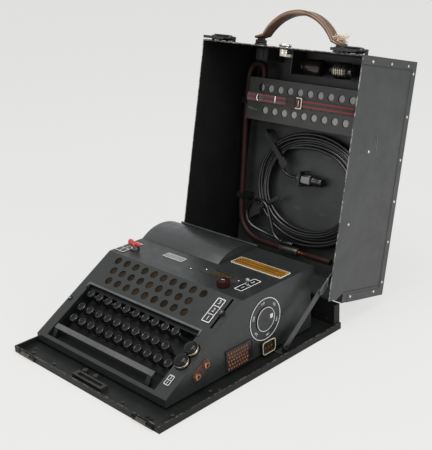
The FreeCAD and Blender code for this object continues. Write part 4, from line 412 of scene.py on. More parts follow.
def circle(radius, steps):
    return [(radius * cos(tau * i / steps), radius * sin(tau * i / steps)) for i in range(steps)]


def outline(shape):
    """An outline from a list of corners, or from the measures of a rounded rectangle."""
    return shape if isinstance(shape, list) else rounded(*shape)


class Build:
    """A mesh in millimetres, with a material for each form that is added."""

    def __init__(self, at=ROOM):
        self.mesh = bmesh.new()
        self.materials = []
        self.at = at

    def dress(self, faces, material, smooth=True):
        if material not in self.materials:
            self.materials.append(material)
        for face in faces:
            face.material_index = self.materials.index(material)
            face.smooth = smooth

    def rings(self, loops, material, turn=ROOM, caps=(True, True), smooth=True):
        """Skins a row of loops of equal length."""
        made = [[self.mesh.verts.new(turn @ Vector(p)) for p in loop] for loop in loops]
        faces = []
        for low, high in zip(made, made[1:]):
            for i in range(len(low)):
                j = (i + 1) % len(low)
                faces.append(self.mesh.faces.new((low[i], low[j], high[j], high[i])))
        self.dress(faces, material, smooth)
        ends = []
        if caps[0]:
            ends.append(self.mesh.faces.new(list(reversed(made[0]))))
        if caps[1]:
            ends.append(self.mesh.faces.new(made[-1]))
        self.dress(ends, material, False)

    def lathe(self, profile, material, x=0.0, y=0.0, z=0.0, axis="z", steps=28, caps=(True, True)):
        """A turned form from (radius, height) pairs."""
        loops = [[(px, py, height) for px, py in circle(max(radius, 0.02), steps)]
                 for radius, height in profile]
        self.rings(loops, material, shift(x, y, z) @ turn_to(axis), caps)

    def plate(self, shape, low, high, material, turn=ROOM):
        """A flat form from its outline."""
        loops = [[(px, py, level) for px, py in outline(shape)] for level in (low, high)]
        self.rings(loops, material, turn, smooth=False)

    def block(self, x, y, z, wide, deep, tall, material):
        """A block from its lowest corner."""
        corners = [(x, y), (x + wide, y), (x + wide, y + deep), (x, y + deep)]
        self.plate(corners, z, z + tall, material)

    def border(self, outer, inner, low, high, material, turn=ROOM):
        """A flat frame between two outlines of equal length."""
        outer, inner = outline(outer), outline(inner)
        loops = [[(px, py, level) for px, py in line]
                 for line, level in ((outer, low), (outer, high), (inner, high), (inner, low), (outer, low))]
        self.rings(loops, material, turn, caps=(False, False), smooth=False)

    def sweep(self, points, section, material, ups=None):
        """A section carried along a line of points; ups fixes the section's second axis."""
        points = [Vector(p) for p in points]
        loops = []
        side = None
        for i, point in enumerate(points):
            ahead = (points[min(i + 1, len(points) - 1)] - points[max(i - 1, 0)]).normalized()
            if ups is not None:
                side = ahead.cross(Vector(ups)).normalized()
            elif side is None:
                side = ahead.orthogonal().normalized()
            side = (side - ahead * side.dot(ahead)).normalized()
            lift = side.cross(ahead).normalized()
            shape = section(i / (len(points) - 1)) if callable(section) else section
            loops.append([point + side * a + lift * b for a, b in shape])
        self.rings(loops, material)

    def rivet(self, x, y, z, axis="z", radius=2.0, tall=0.9, material=ZINC, sign=1):
        """A domed rivet head on a face."""
        profile = [(radius, -0.1 * sign), (radius * 0.96, tall * 0.45 * sign),
                   (radius * 0.7, tall * 0.85 * sign), (radius * 0.3, tall * sign)]
        self.lathe(profile, material, x, y, z, axis, steps=14)

    def text(self, words, size, material, turn):
        """Plain generic figures, laid flat about a point."""
        curve = bpy.data.curves.new("figures", "FONT")
        curve.body = words
        curve.size = size
        curve.align_x, curve.align_y = "CENTER", "CENTER"
        curve.extrude = 0.12
        curve.resolution_u = 3
        holder = add("figures", curve)
        view = bpy.context.evaluated_depsgraph_get()
        flat = bpy.data.meshes.new_from_object(holder.evaluated_get(view))
        before = set(self.mesh.faces)
        flat.transform(turn)
        self.mesh.from_mesh(flat)
        self.dress([face for face in self.mesh.faces if face not in before], material, False)
        bpy.data.objects.remove(holder)
        bpy.data.curves.remove(curve)
        bpy.data.meshes.remove(flat)

    def finish(self, name, node, bevel=0.0, replaces=True):
        """Makes the object in the shared frame, in the place of a CAD node or beside it."""
        bmesh.ops.recalc_face_normals(self.mesh, faces=self.mesh.faces)
        mesh = bpy.data.meshes.new(name)
        self.mesh.to_mesh(mesh)
        self.mesh.free()
        mesh.transform(Matrix.Scale(MM, 4) @ self.at)
        for material in self.materials:
            mesh.materials.append(material)
        piece = add(name, mesh)
        if bevel:
            soften(piece, bevel)
        return fasten(piece, body_of(node), (node,) if replaces else ())


def soften(piece, width, weld=False):
    """Rounds a piece's sharp edges."""
    if weld:
        piece.modifiers.new("weld", "WELD").merge_threshold = 0.00002
    edge = piece.modifiers.new("bevel", "BEVEL")
    edge.width = width * MM
    edge.segments = 2
    edge.limit_method = "ANGLE"
    edge.angle_limit = radians(38)
    edge.use_clamp_overlap = True


def fasten(piece, body, replaces):
    """Lets a piece ride on its body and stand for the CAD nodes that it shows in detail."""
    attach(piece, body)
    if replaces:
        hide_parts(*replaces)
    return piece


def body_of(node):
    return nodes[node]["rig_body"]


def nurbs(name, points, diameter, material, replaces):
    """A round cord in the lid, on one smooth spline whose control points are its route."""
    curve = bpy.data.curves.new(name, "CURVE")
    curve.dimensions = "3D"
    curve.bevel_depth = diameter / 2 * MM
    curve.bevel_resolution = 3
    curve.resolution_u = 5
    curve.use_fill_caps = True
    spline = curve.splines.new("NURBS")
    spline.points.add(len(points) - 1)
    for control, point in zip(spline.points, points):
        control.co = (*world(LID, *point), 1.0)
    spline.order_u = 3
    spline.use_endpoint_u = True
    curve.materials.append(material)
    return fasten(add(name, curve), "lid", replaces)


# -------- cords in the lid

COIL_Y, COIL_STRETCH = 43.043, 18.0
LEAD_DIAMETER, LEAD_LENGTH = 5.6, 3.57
TURNS, TURN_POINTS = 5.49, 18
LEAD_OUTER, LEAD_INNER, LEAD_LEVEL = 95.4, 69.2, 135.5
SLEEVE = (-9.0, 140.04, 125.08)
PLUG_X, PLUG_Y, PLUG_Z = -30.0, 28.043, 138.276


def bend(x, y, radius, start, stop, count, low, high):
    """Control points of a round bend about a centre, from one angle to another while it climbs."""
    step = (stop - start) / count
    reach = radius / cos(radians(step / 2))
    points = []
    for index in range(count):
        angle = radians(start + (index + 0.5) * step)
        points.append((x + reach * cos(angle), y + reach * sin(angle),
                       low + (high - low) * (index + 0.5) / count))
    return points


# From its sleeve, over the front of the coil and round the lower left hook.
LEAD_FIRST = (
    (-23.0, 140.04, 125.1), (-30.0, 140.04, 125.1), *bend(-33.3, 114.04, 26.0, 90, 155, 4, 125.1, 124.6),
    (-58.6, 121.3, 124.5), (-62.6, 112.7, 124.4), (-66.1, 105.2, 124.3), (-69.6, 97.7, 124.3),
    *bend(-95.0, 104.5, 25.5, 335, 155, 9, 124.3, 124.3),
    *bend(-95.0, 104.5, 25.5, 155, 115, 2, 124.4, 126.0),
    (-101.7, 129.5, 127.4), (-93.2, 132.0, 129.4), (-84.5, 134.1, 131.4), (-75.5, 135.9, 133.0),
    (-66.0, 137.4, 134.3), (-55.0, 138.8, 135.2), (-43.5, 139.7, 135.6), (-31.0, 139.8, 135.6),
    (-18.5, 139.0, 135.6),
)
# From the innermost turn in a small loop to the plug.
LEAD_LAST = (
    (-43.6, -20.3, 132.6), *bend(-41.0, 3.9, 24.4, 250, 92, 8, 132.8, 137.9),
    (-37.6, 28.3, 138.2), (-28.0, PLUG_Y, PLUG_Z),
)


def coil_turns():
    """Loose oval turns wound inwards, each a little different."""
    start = radians(82)
    steps = round(TURNS * TURN_POINTS)
    for step in range(steps + 1):
        share = step / steps
        angle = start - tau * TURNS * share
        loose = min(1.0, 6 * share, 6 * (1 - share))
        radius = LEAD_OUTER + (LEAD_INNER - LEAD_OUTER) * share
        radius += 1.3 * loose * sin(2 * angle + 5 * share)
        level = LEAD_LEVEL + loose * (2.2 * sin(1.3 * angle + 3.0) + 1.0 * sin(3.1 * angle))
        aside = COIL_STRETCH * sin(QUARTER * cos(angle))
        yield radius * cos(angle) + aside, COIL_Y + radius * sin(angle), level


CABLE_DIAMETER = 10.5
CABLE_START = (-157.7, -180.157, 149.576)
CABLE_ROUTE = (
    (45.7, 50.2, -31.5), (45.7, 35, -31.5), (36.7, 27, -31.5), (21, 28.5, -31.5), (10.7, 41, -31),
    (9.7, 68, -30), (10.7, 118, -28), (13.7, 172, -25.5), (17.7, 226, -24.5), (21.7, 278, -24.5),
    (27.7, 304, -24.5), (44.7, 321, -24.5), (68.7, 329, -24.5), (103.7, 330, -24.5), (125.7, 330, -24.5),
)


def lead_plug():
    """Two-pin plug: metal end cap, dark band, squared body with a pale blank label, dark nose."""
    b = Build(LID)
    at = (PLUG_X, PLUG_Y, PLUG_Z)
    b.lathe([(4.2, 0), (5.2, 1), (6.6, 2.5), (8.6, 3.5), (9.4, 5), (9.4, 9.5)], SHELL, *at, "x")
    b.lathe([(9.6, 9), (10.8, 9.6), (10.8, 13.4), (9.6, 14)], BLACK, *at, "x")
    lie = shift(*at) @ turn_to("x")
    loops = [[(c, a, along) for c, a in rounded(wide, wide, 3.0)]
             for along, wide in ((13.8, 17.0), (14.6, 18.6), (34.6, 18.6), (35.4, 17.0))]
    b.rings(loops, BAKELITE, lie)
    label = shift(PLUG_X + 24.6, PLUG_Y, PLUG_Z) @ spin(pi, "X")
    b.plate((17.5, 10.5, 0.8), 9.0, 9.9, PLATE_GREY, label)
    b.lathe([(8.7, 35), (8.7, 37), (8.2, 38), (8.2, 49), (7.4, 54), (6.4, 56)], BLACK, *at, "x")
    return b.finish("mains_plug", "lead_plug")


plug = lead_plug()
lead_points = [*LEAD_FIRST, *coil_turns(), *LEAD_LAST]
lead = nurbs("mains_lead", lead_points, LEAD_DIAMETER, RUBBER, ("lead_coil", "lead_tail"))
tuple(world(LID, *LEAD_FIRST[1]))


def lead_relief():
    """Ribbed rubber sleeve that tapers from the connector onto the lead."""
    b = Build(LID)
    profile = [(4.0, 0.0), (4.7, 0.6)]
    for index in range(7):
        radius = 4.7 - index * 0.16
        along = 2.0 + index * 3.6
        profile += [(radius, along), (radius - 0.5, along + 0.6), (radius - 0.5, along + 2.4),
                    (radius - 0.1, along + 3.0)]
    profile += [(3.3, 28.6), (3.1, 29.0)]
    b.lathe([(radius, -along) for radius, along in profile], RUBBER, *SLEEVE, "x")
    b.finish("lead_sleeve", "lid_fittings", replaces=False)


lead_relief()
cable_points = [tuple(a + b for a, b in zip(CABLE_START, point)) for point in CABLE_ROUTE]
nurbs("panel_cable", cable_points, CABLE_DIAMETER, CABLE, ("lamp_cable",))


# -------- finishes of the carried-over CAD nodes

# Each node's finish, and the width of its softened edges.
CAD_FINISH = {
    "base_tray": (CASE, 0.5), "lid_shell": (LID_PAINT, 0.5), "housing_shell": (BODY, 0.7),
    "keyboard_deck": (DECK, 0.4), "lamp_board": (FILM, 0.0), "drive_chassis": (DARK_STEEL, 0.3),
    "rotor_stack": (ROTOR, 0.3), "rotor_cover": (COVER, 0.6), "tray_fittings": (RUST, 0.3),
    "lid_fittings": (CASE, 0.25), "remote_lamp_panel": (PANEL, 0.4), "stay_arm": (LID_PAINT, 0.3),
    "stay_link": (LID_PAINT, 0.3), "lid_latches": (RUST, 0.3),
}
for name, (material, bevel) in CAD_FINISH.items():
    node = nodes[name]
    node.data.materials.clear()
    node.data.materials.append(material)
    if bevel:
        soften(node, bevel, weld=True)


# -------- keyboard

# Each row's number, count of keys, first key's x, place up the slope and width of stem.
KEY_ROWS = ((1, 10, -121.2, 91.5, 12.0), (2, 10, -118.4, 66.8, 7.0), (3, 11, -115.6, 46.0, 7.0))
KEY_PITCH = 20.9
STEM_LOW = -30.0
FUNCTION_KEY_X = 114.1


def stem(b, x, up, wide, high):
    """A key's flat stem, from below the deck up to a level."""
    stand = shift(x, up, 0) @ spin(QUARTER, "X")
    b.plate([(a, c + (STEM_LOW + high) / 2) for a, c in rounded(wide, high - STEM_LOW, 1.8)], -1.2, 1.2,
            STEM, stand)


def letter_key(node, x, up, wide):
    """Thin-rimmed key with a dished glossy top, a round skirt and a flat stem."""
    b = Build(SLOPE)
    b.lathe([(5.2, -3.2), (6.0, -2.9), (6.25, -2.3), (6.25, -0.4)], KEY_SIDE, x, up, caps=(True, False))
    b.lathe([(6.25, -0.5), (6.3, 0.3), (6.2, 0.8), (6.0, 1.0), (5.85, 0.9), (5.8, 0.5)], RIM, x, up,
            caps=(False, False))
    b.lathe([(5.85, 0.6), (4.8, 0.25), (3.4, -0.1), (1.8, -0.32), (0.0, -0.4)], KEY_TOP, x, up,
            caps=(False, True))
    b.lathe([(5.3, -3.1), (4.7, -3.7), (4.7, -15.5), (4.3, -17.0)], KEY_SIDE, x, up, steps=20)
    stem(b, x, up, wide, -4.0)
    b.finish(node + "_cap", node)


def function_key(node, x, up):
    """Large key: a bright metal cup below a domed black top."""
    b = Build(SLOPE)
    b.lathe([(9.2, -3.0), (10.2, -2.6), (10.4, -1.8), (10.4, 4.2), (10.1, 4.8), (9.6, 4.9)], GILT, x, up,
            steps=36, caps=(True, False))
    b.lathe([(9.4, 4.7), (10.0, 5.0), (10.1, 6.9), (9.3, 9.0), (7.2, 10.3), (4.0, 10.85), (0.0, 11.0)],
            KEY_TOP, x, up, steps=36, caps=(False, True))
    b.lathe([(6.0, -3.0), (6.0, -16.0), (5.0, -17.0)], KEY_SIDE, x, up)
    stem(b, x, up, 7.0, -4.0)
    b.finish(node + "_cup", node)


for row, count, first, up, wide in KEY_ROWS:
    for column in range(count):
        letter_key(f"key_{row}_{column + 1:02d}", first + column * KEY_PITCH, up, wide)
for end, up in (("front", 55.0), ("rear", 76.0)):
    function_key("function_key_" + end, FUNCTION_KEY_X, up)


# -------- knobs and levers

LEVER = (-129.0, 31.057)
RESET = (77.0, 20.057)
TOGGLE = (102.0, 43.557)
SLIDER = (115.1, 141.1)
DIAL_Y, DIAL_Z = 46.557, 58.7


def knurled(b, radius, low, high, material, x, y, teeth=30, depth=0.35):
    """A drum with a fine straight knurl and softened ends."""
    loops = []
    for level, inset in ((low, 0.8), (low + 0.7, 0.0), (high - 0.7, 0.0), (high, 0.8)):
        loops.append([])
        for i, (across, up) in enumerate(circle(1.0, 2 * teeth)):
            reach = radius - inset - depth * (i % 2)
            loops[-1].append((reach * across + x, reach * up + y, level))
    b.rings(loops, material, smooth=False)


def mode_lever():
    """Red wing knob with a bright pin through its end, on a dark skirt."""
    x, y = LEVER
    b = Build(TOP)
    b.lathe([(2.5, -8.0), (2.5, 0.5)], ZINC, x, y)
    b.lathe([(7.5, 0.3), (7.5, 1.6), (6.6, 2.2), (6.2, 6.4), (5.6, 7.2)], DARK_STEEL, x, y)
    lie = shift(x - 12.5, y, 9.6) @ turn_to("x")
    profile = [(0.0, 4.4), (1.2, 5.2), (6.5, 5.4), (8.6, 4.2), (16.0, 3.2), (22.0, 3.0), (24.2, 2.4),
               (25.0, 1.2)]
    loops = [[(a * 1.05, c * 0.72, along) for a, c in circle(radius, 20)] for along, radius in profile]
    b.rings(loops, RED, lie)
    b.lathe([(4.6, 5.2), (4.3, 9.0), (3.6, 11.8)], RED, x, y)
    b.lathe([(1.9, 0.0), (1.9, 1.4), (1.3, 1.9)], NICKEL, x, y - 7.4, 4.2, "y", steps=14)
    b.finish("mode_lever_wing", "mode_lever")


def reset_knob():
    """Red knurled knob with a slotted screw in its top."""
    x, y = RESET
    b = Build(TOP)
    b.lathe([(2.5, -8.0), (2.5, 0.5)], ZINC, x, y)
    knurled(b, 9.5, 0.3, 9.8, DARK_RED, x, y)
    b.lathe([(8.4, 9.7), (7.2, 10.6), (4.2, 10.9)], DARK_RED, x, y, caps=(False, True))
    b.lathe([(3.0, 10.8), (2.9, 11.2), (2.2, 11.3)], NICKEL, x, y)
    b.finish("reset_knob_drum", "counter_reset_knob")


def toggle():
    """Bright switch lever with a rounded tip in a ball joint."""
    x, y = TOGGLE
    b = Build(TOP)
    b.lathe([(0.2, -3.9), (2.0, -3.3), (3.1, -1.6), (3.15, -0.4), (2.5, 1.0), (1.7, 1.9), (1.5, 4.2),
             (2.2, 5.4), (3.2, 7.0), (3.35, 8.6), (2.7, 10.5), (1.2, 11.5), (0.0, 11.65)], ZINC, x, y)
    b.finish("toggle_lever", "toggle_knob")


def slider():
    """Small dark slider knob on its runner."""
    x, up = SLIDER
    b = Build(SLOPE)
    b.lathe([(4.5, -3.5), (4.5, -2.3), (1.8, -2.2), (1.8, 0.4)], ZINC, x, up)
    knurled(b, 5.0, 0.3, 5.4, BLACK, x, up, teeth=18, depth=0.3)
    b.lathe([(4.1, 5.3), (3.0, 6.2), (0.0, 6.3)], BLACK, x, up, caps=(False, True))
    b.finish("range_slider_knob", "range_slider")


def selector():
    """Flat coin-slot selector: grey disc with a white rim line and a white pointer block."""
    b = Build(SIDE)
    at = shift(DIAL_Y, DIAL_Z, 0)
    b.lathe([(2.5, -8.0), (2.5, 0.4)], ZINC, DIAL_Y, DIAL_Z)
    b.lathe([(18.3, 0.3), (18.3, 1.8), (18.0, 2.2)], BODY, DIAL_Y, DIAL_Z, steps=56)
    b.border(circle(18.2, 56), circle(17.3, 56), 2.15, 2.35, WHITE, at)
    b.plate((2.6, 15.0, 1.2), 2.1, 2.4, INK_AND_SHADE, at @ spin(0.6, "Z"))
    b.lathe([(2.2, 2.2), (2.0, 2.9), (1.4, 3.0)], DARK_STEEL, DIAL_Y, DIAL_Z)
    b.plate((6.0, 6.5, 1.0), 2.15, 2.4, WHITE, at @ shift(11.5, 1.5, 0))
    b.finish("selector_disc", "voltage_selector")


mode_lever()
reset_knob()
toggle()
slider()
selector()


# -------- plates and labels

def bordered_label(b, x, y, wide, tall, parts, line=1.4):
    """A black plate with a white border and cross lines between its fields, each with a plain figure."""
    at = shift(x, y, 0)
    inner_wide, inner_tall = wide - 0.6 - 2 * line, tall - 0.6 - 2 * line
    b.plate((wide, tall, 2.0), 0.05, 0.8, INK_AND_SHADE, at)
    b.border((wide - 0.6, tall - 0.6, 1.8), (inner_wide, inner_tall, 1.0), 0.75, 0.92, WHITE, at)
    for index in range(1, parts):
        level = -tall / 2 + index * tall / parts
        b.plate((wide - 1.5, line * 0.8, 0.2), 0.75, 0.92, WHITE, at @ shift(0, level, 0))
    for index in range(parts):
        level = -tall / 2 + (index + 0.5) * tall / parts
        b.text(str(index + 1), min(wide * 0.62, tall / parts * 0.8), WHITE, at @ shift(0, level, 0.85))


NAME_PLATE, CHART, COUNTER = (-54.5, 47.557), (72.5, 101.757), (49.5, 46.057)


def top_plates():
    """The plates on the top of the housing, with rivets and plain figures."""
    b = Build(TOP)
    x, y = NAME_PLATE
    b.plate((43, 15, 2.0), 0.02, 0.8, PLATE_GREY, shift(x, y, 0))
    b.border((41, 13, 1.5), (39.8, 11.8, 1.0), 0.75, 0.9, WHITE, shift(x, y, 0))
    for side in (-1, 1):
        b.rivet(x + side * 18.0, y, 0.8, radius=1.2, tall=0.5)
    bordered_label(b, -144.75, LEVER[1], 22.5, 42.0, 3)
    bordered_label(b, *TOGGLE, 15.5, 43.0, 2)
    x, y = CHART
    at = shift(x, y, 0)
    b.plate((99, 25, 2.5), 0.02, 0.7, CREAM, at)
    b.plate((96, 22, 1.5), 0.65, 0.82, OCHRE, at)
    for level in (-3.6, 3.6):
        b.plate((88, 1.3, 0.3), 0.8, 0.88, AMBER, at @ shift(0, level, 0))
    for side_x in (-1, 1):
        for side_y in (-1, 1):
            b.rivet(x + side_x * 45.0, y + side_y * 8.2, 0.8, radius=1.3, tall=0.6, material=NICKEL)
    counter = shift(*COUNTER, 0)
    b.border((75, 20, 1.5), (39, 14, 0.5), 0.02, 0.8, DARK_STEEL, counter)
    b.plate((38.8, 13.8, 0.4), 0.02, 0.35, AMBER, counter @ shift(-3.0, 0, 0))
    for index in range(5):
        drum = counter @ shift(-18.4 + index * 7.7, 0, 0)
        b.plate((6.6, 9.5, 0.8), 0.3, 0.55, DRUM, drum)
        b.text("0", 7.0, INK_AND_SHADE, drum @ shift(0, 0, 0.6))
    for x, y in ((17.4, COUNTER[1]), (82.0, COUNTER[1]), (-3.0, 33.0)):
        b.rivet(x, y, 0.7, radius=1.6, tall=0.8, material=NICKEL)
    b.finish("top_plates", "housing_trim", bevel=0.15)


def dial_ring():
    """The selector's ring on the wall: a white line around plain numbers."""
    b = Build(SIDE)
    at = shift(DIAL_Y, DIAL_Z, 0)
    b.border(circle(31.8, 64), circle(20.0, 64), 0.02, 0.7, BODY, at)
    b.border(circle(31.7, 64), circle(30.6, 64), 0.65, 1.0, WHITE, at)
    for index, figure in enumerate(("110", "125", "145", "190", "220", "250")):
        angle = radians(100 - 60 * index)
        spot = at @ shift(25.1 * cos(angle), 25.1 * sin(angle), 0.75)
        b.text(figure, 5.0, WHITE, spot @ spin(angle - QUARTER, "Z"))
    b.finish("dial_ring", "housing_trim")


def slope_labels():
    """The labels on the sloping front, and the slider's dotted slot edges."""
    b = Build(SLOPE)
    x, up = SLIDER
    bordered_label(b, x - 15.25, up, 15.5, 42.0, 3)
    bordered_label(b, FUNCTION_KEY_X, 26.0, 10.5, 16.0, 2, line=1.0)
    for side in (-1, 1):
        for index in range(13):
            b.lathe([(0.75, 0.0), (0.7, 0.2), (0.4, 0.25)], INK_AND_SHADE, x + side * 3.4, 117.5 + index * 3.9,
                    steps=8)
    b.rivet(-152.0, 71.0, 0, radius=4.2, tall=1.9, material=KEY_TOP)
    b.rivet(-152.0, 71.0, 1.4, radius=1.3, tall=0.8, material=RIVET)
    b.finish("slope_labels", "housing_trim")


top_plates()
dial_ring()
slope_labels()


# -------- sockets on the right-hand wall

INLET_Y, INLET_Z = 48.057, 16.5
MANY_Y, MANY_Z = -8.19, 24.5
SINGLE_SOCKETS = ((-88.857, 27.9), (-71.779, 37.919))


def side_sockets():
    """Mains inlet with a pale frame, many-pin socket and two single sockets on their shared plate."""
    b = Build(SIDE)
    inlet = shift(INLET_Y, INLET_Z, 0)
    b.border((27, 20, 4.5), (25.4, 18.4, 3.9), 0.0, 5.3, INK_AND_SHADE, inlet)
    b.border((26.9, 19.9, 4.4), (25.0, 18.0, 3.7), 5.3, 6.0, CREAM, inlet)
    b.border((25.5, 18.5, 3.9), (22.4, 15.4, 2.6), 0.0, 4.6, WELL, inlet)
    b.plate((22.8, 15.8, 2.6), 0.02, 0.8, WELL, inlet)
    for index in (-1, 0, 1):
        b.lathe([(2.0, 0.6), (2.0, 4.6), (1.4, 5.3)], DRUM, INLET_Y + index * 6.67, INLET_Z, steps=14)
    many = shift(MANY_Y, MANY_Z, 0)
    b.border((52.5, 31, 1.0), (50.5, 29, 0.6), 0.0, 2.0, BODY, many)
    b.plate((50.8, 29.2, 0.6), 0.02, 1.0, INK_AND_SHADE, many)
    b.plate((42.4, 28.6, 0.6), 0.9, 2.2, INSULATION, many @ shift(-3.9, 0, 0))
    for line in range(5):
        for column in range(8):
            x = MANY_Y - 22.3 + column * 5.0 + (line % 2) * 1.9
            b.lathe([(1.6, 2.1), (1.6, 3.3), (0.9, 3.7), (0.6, 3.2)], PINS, x, MANY_Z - 11.2 + line * 5.6,
                    steps=10)
    (first_y, first_z), (last_y, last_z) = SINGLE_SOCKETS
    plate = shift((first_y + last_y) / 2, (first_z + last_z) / 2, 0) @ spin(SLOPE_ANGLE, "Z")
    b.border((33.5, 13.6, 6.8, 8), (31.9, 12.0, 6.0, 8), 0.0, 1.3, PINS, plate)
    b.plate((32.0, 12.1, 6.0, 8), 0.02, 1.1, INSULATION, plate)
    for y, z in SINGLE_SOCKETS:
        b.lathe([(4.9, 0.9), (4.9, 3.2), (4.4, 4.4), (3.3, 4.8), (2.6, 4.9), (2.2, 4.6), (2.1, 0.8)],
                PINS, y, z)
        b.lathe([(2.1, 0.8), (0.0, 0.9)], INK_AND_SHADE, y, z, steps=20, caps=(False, True))
    b.finish("wall_sockets", "side_sockets", bevel=0.2)


side_sockets()


# -------- finishes by region of a CAD node

def region(node, at, tests):
    """Gives each face of a CAD node the finish of the first (x, y, z) spans in mm that hold it."""
    mesh = nodes[node].data
    back = at.inverted() @ Matrix.Scale(1 / MM, 4)
    first = len(mesh.materials)
    for material, _ in tests:
        mesh.materials.append(material)
    for face in mesh.polygons:
        middle = back @ face.center
        for index, (_, spans) in enumerate(tests, start=first):
            if all(low <= value <= high for value, (low, high) in zip(middle, spans)):
                face.material_index = index
                break


ANY = (-1000, 1000)
region("lamp_board", SLOPE, (
    (FILM, (ANY, ANY, (-3, 0))), (DARK_STEEL, (ANY, ANY, (-33, -29.9))),
    (BRASS, (ANY, ANY, (-30, -20.2))), (GLASS, (ANY, ANY, (-20.3, -9)))))
region("remote_lamp_panel", LID, (
    (PALE_FILM, ((-132, 90), (-128.4, -60), (107.0, 108.4))),
    (GLASS, ((-132, 90), (-128.4, -60), (120, 148.4)))))
region("lid_fittings", LID, (
    (NICKEL, ((-9, 9), (-186, -167), (21, 39))),
    (BAKELITE, ((-39, 5), (-171, -142), (112, 150))),
    (SHELL, ((17, 65), (-171, -142), (112, 150))),
    (HOOK_PAINT_AND_SHADE, ((-127, -98), (-181, -157), (104, 150))),
    # The partition plate takes the dark hook paint as painted shade of the stow area.
    (HOOK_PAINT_AND_SHADE, ((-55, -51), (-181, -141), (112, 150))),
    (RUBBER, ((-35, -9), (135.5, 144.4), (120, 130))),
    (SHELL, ((-35, 4.5), (142, 157), (117, 150))),
    (COPPER, ((4, 22.5), (142, 157), (117, 133))),
    (CABLE, ((22, 73), (142, 157), (117, 133))),
    (HOOK_PAINT_AND_SHADE, ((-145, 145), (-80, 170), (120, 150))),
    (RUST, (ANY, (-195, -180.5), ANY))))
region("keyboard_deck", SLOPE, (
    (BEAD, (ANY, (100, 110), (0.05, 2.0))), (BAR, (ANY, (19.5, 28.5), (-2.3, 0.5)))))
# The lid's left inner wall takes the darker finish as painted shade.
region("lid_shell", LID, ((SHADED_WALL, ((-157.9, -157.5), (-180, 181), (11, 149))),))
region("tray_fittings", ROOM, (
    (FOOT_RUBBER, (ANY, (-150, 150), (1.5, 6.1))), (CASE, ((120, 160), ANY, (1.9, 25)))))


# -------- lid: strap, handle and small details

STRAP_Y, PANEL_FACE, PANEL_LEFT, PANEL_RIGHT = -96.957, 105.576, -133.2, 90.9
STRAP_BANDS = ((-6.1, 1.8, GREEN_WEB), (-3.9, 2.6, RED_WEB), (0.0, 5.2, GREEN_WEB), (3.9, 2.6, RED_WEB),
               (6.1, 1.8, GREEN_WEB))


def strap_run(b, path, thick):
    """Five woven bands side by side along a path in the (x, z) plane."""
    for offset, wide, web in STRAP_BANDS:
        b.sweep([(x, STRAP_Y + offset, z) for x, z in path], rounded(thick, wide, 0.3, 2), web,
                ups=(0, 1, 0))


def panel_strap():
    """Striped webbing strap over the stowed panel, with its doubled end, keeper and frame buckle."""
    b = Build(LID)
    low = PANEL_FACE - 1.4
    path = [(PANEL_LEFT - 1.3, 149.3), (PANEL_LEFT - 1.3, low + 5), (PANEL_LEFT - 0.6, low + 1.5),
            (PANEL_LEFT + 2.5, low), (-60, low - 0.1), (0, low), (60, low - 0.1), (PANEL_RIGHT - 2.5, low),
            (PANEL_RIGHT + 0.6, low + 1.5), (PANEL_RIGHT + 1.3, low + 5), (PANEL_RIGHT + 1.3, 149.3)]
    strap_run(b, path, 1.7)
    tail = [(-14.0, low - 2.0), (-30.0, low - 3.2), (-50.0, low - 2.5), (-75.0, low - 2.1),
            (-95.0, low - 2.4), (-104.0, low - 3.0)]
    strap_run(b, tail, 1.5)
    end = [(cos(angle) * 4.6 - 103.5, STRAP_Y + sin(angle) * 6.4, low - 3.4)
           for angle in (radians(110 + 14 * i) for i in range(11))]
    b.sweep(end, circle(1.9, 8), NICKEL)
    b.border((14, 18.5, 2.5), (10, 14.6, 1.2), -1.1, 1.1, NICKEL, shift(-17.5, STRAP_Y, low - 2.6))
    b.sweep([(-17.0, STRAP_Y - 8.0, low - 4.2), (-17.0, STRAP_Y + 8.0, low - 4.2)], circle(0.9, 8), NICKEL)
    b.border((19, 16.2, 1.5), (15, 3, 1.0), -1.2, 1.2, KEEPER, shift(-33.0, STRAP_Y, low - 4.9))
    b.plate((18, 15.2, 1.4), -0.6, 0.9, KEEPER, shift(-33.0, STRAP_Y, low - 4.4))
    loop = [(-67.5, STRAP_Y + across, low + level)
            for across, level in ((-8.2, -1.0), (-8.0, -3.6), (8.0, -3.6), (8.2, -1.0))]
    b.sweep(loop, rounded(2.2, 0.7, 0.3, 2), NICKEL)
    b.finish("striped_strap", "panel_strap")


HANDLE_PIVOT_Y, HANDLE_RISE, HANDLE_HALF = -187.957, 62.0, 79.0
FIBRES = 170


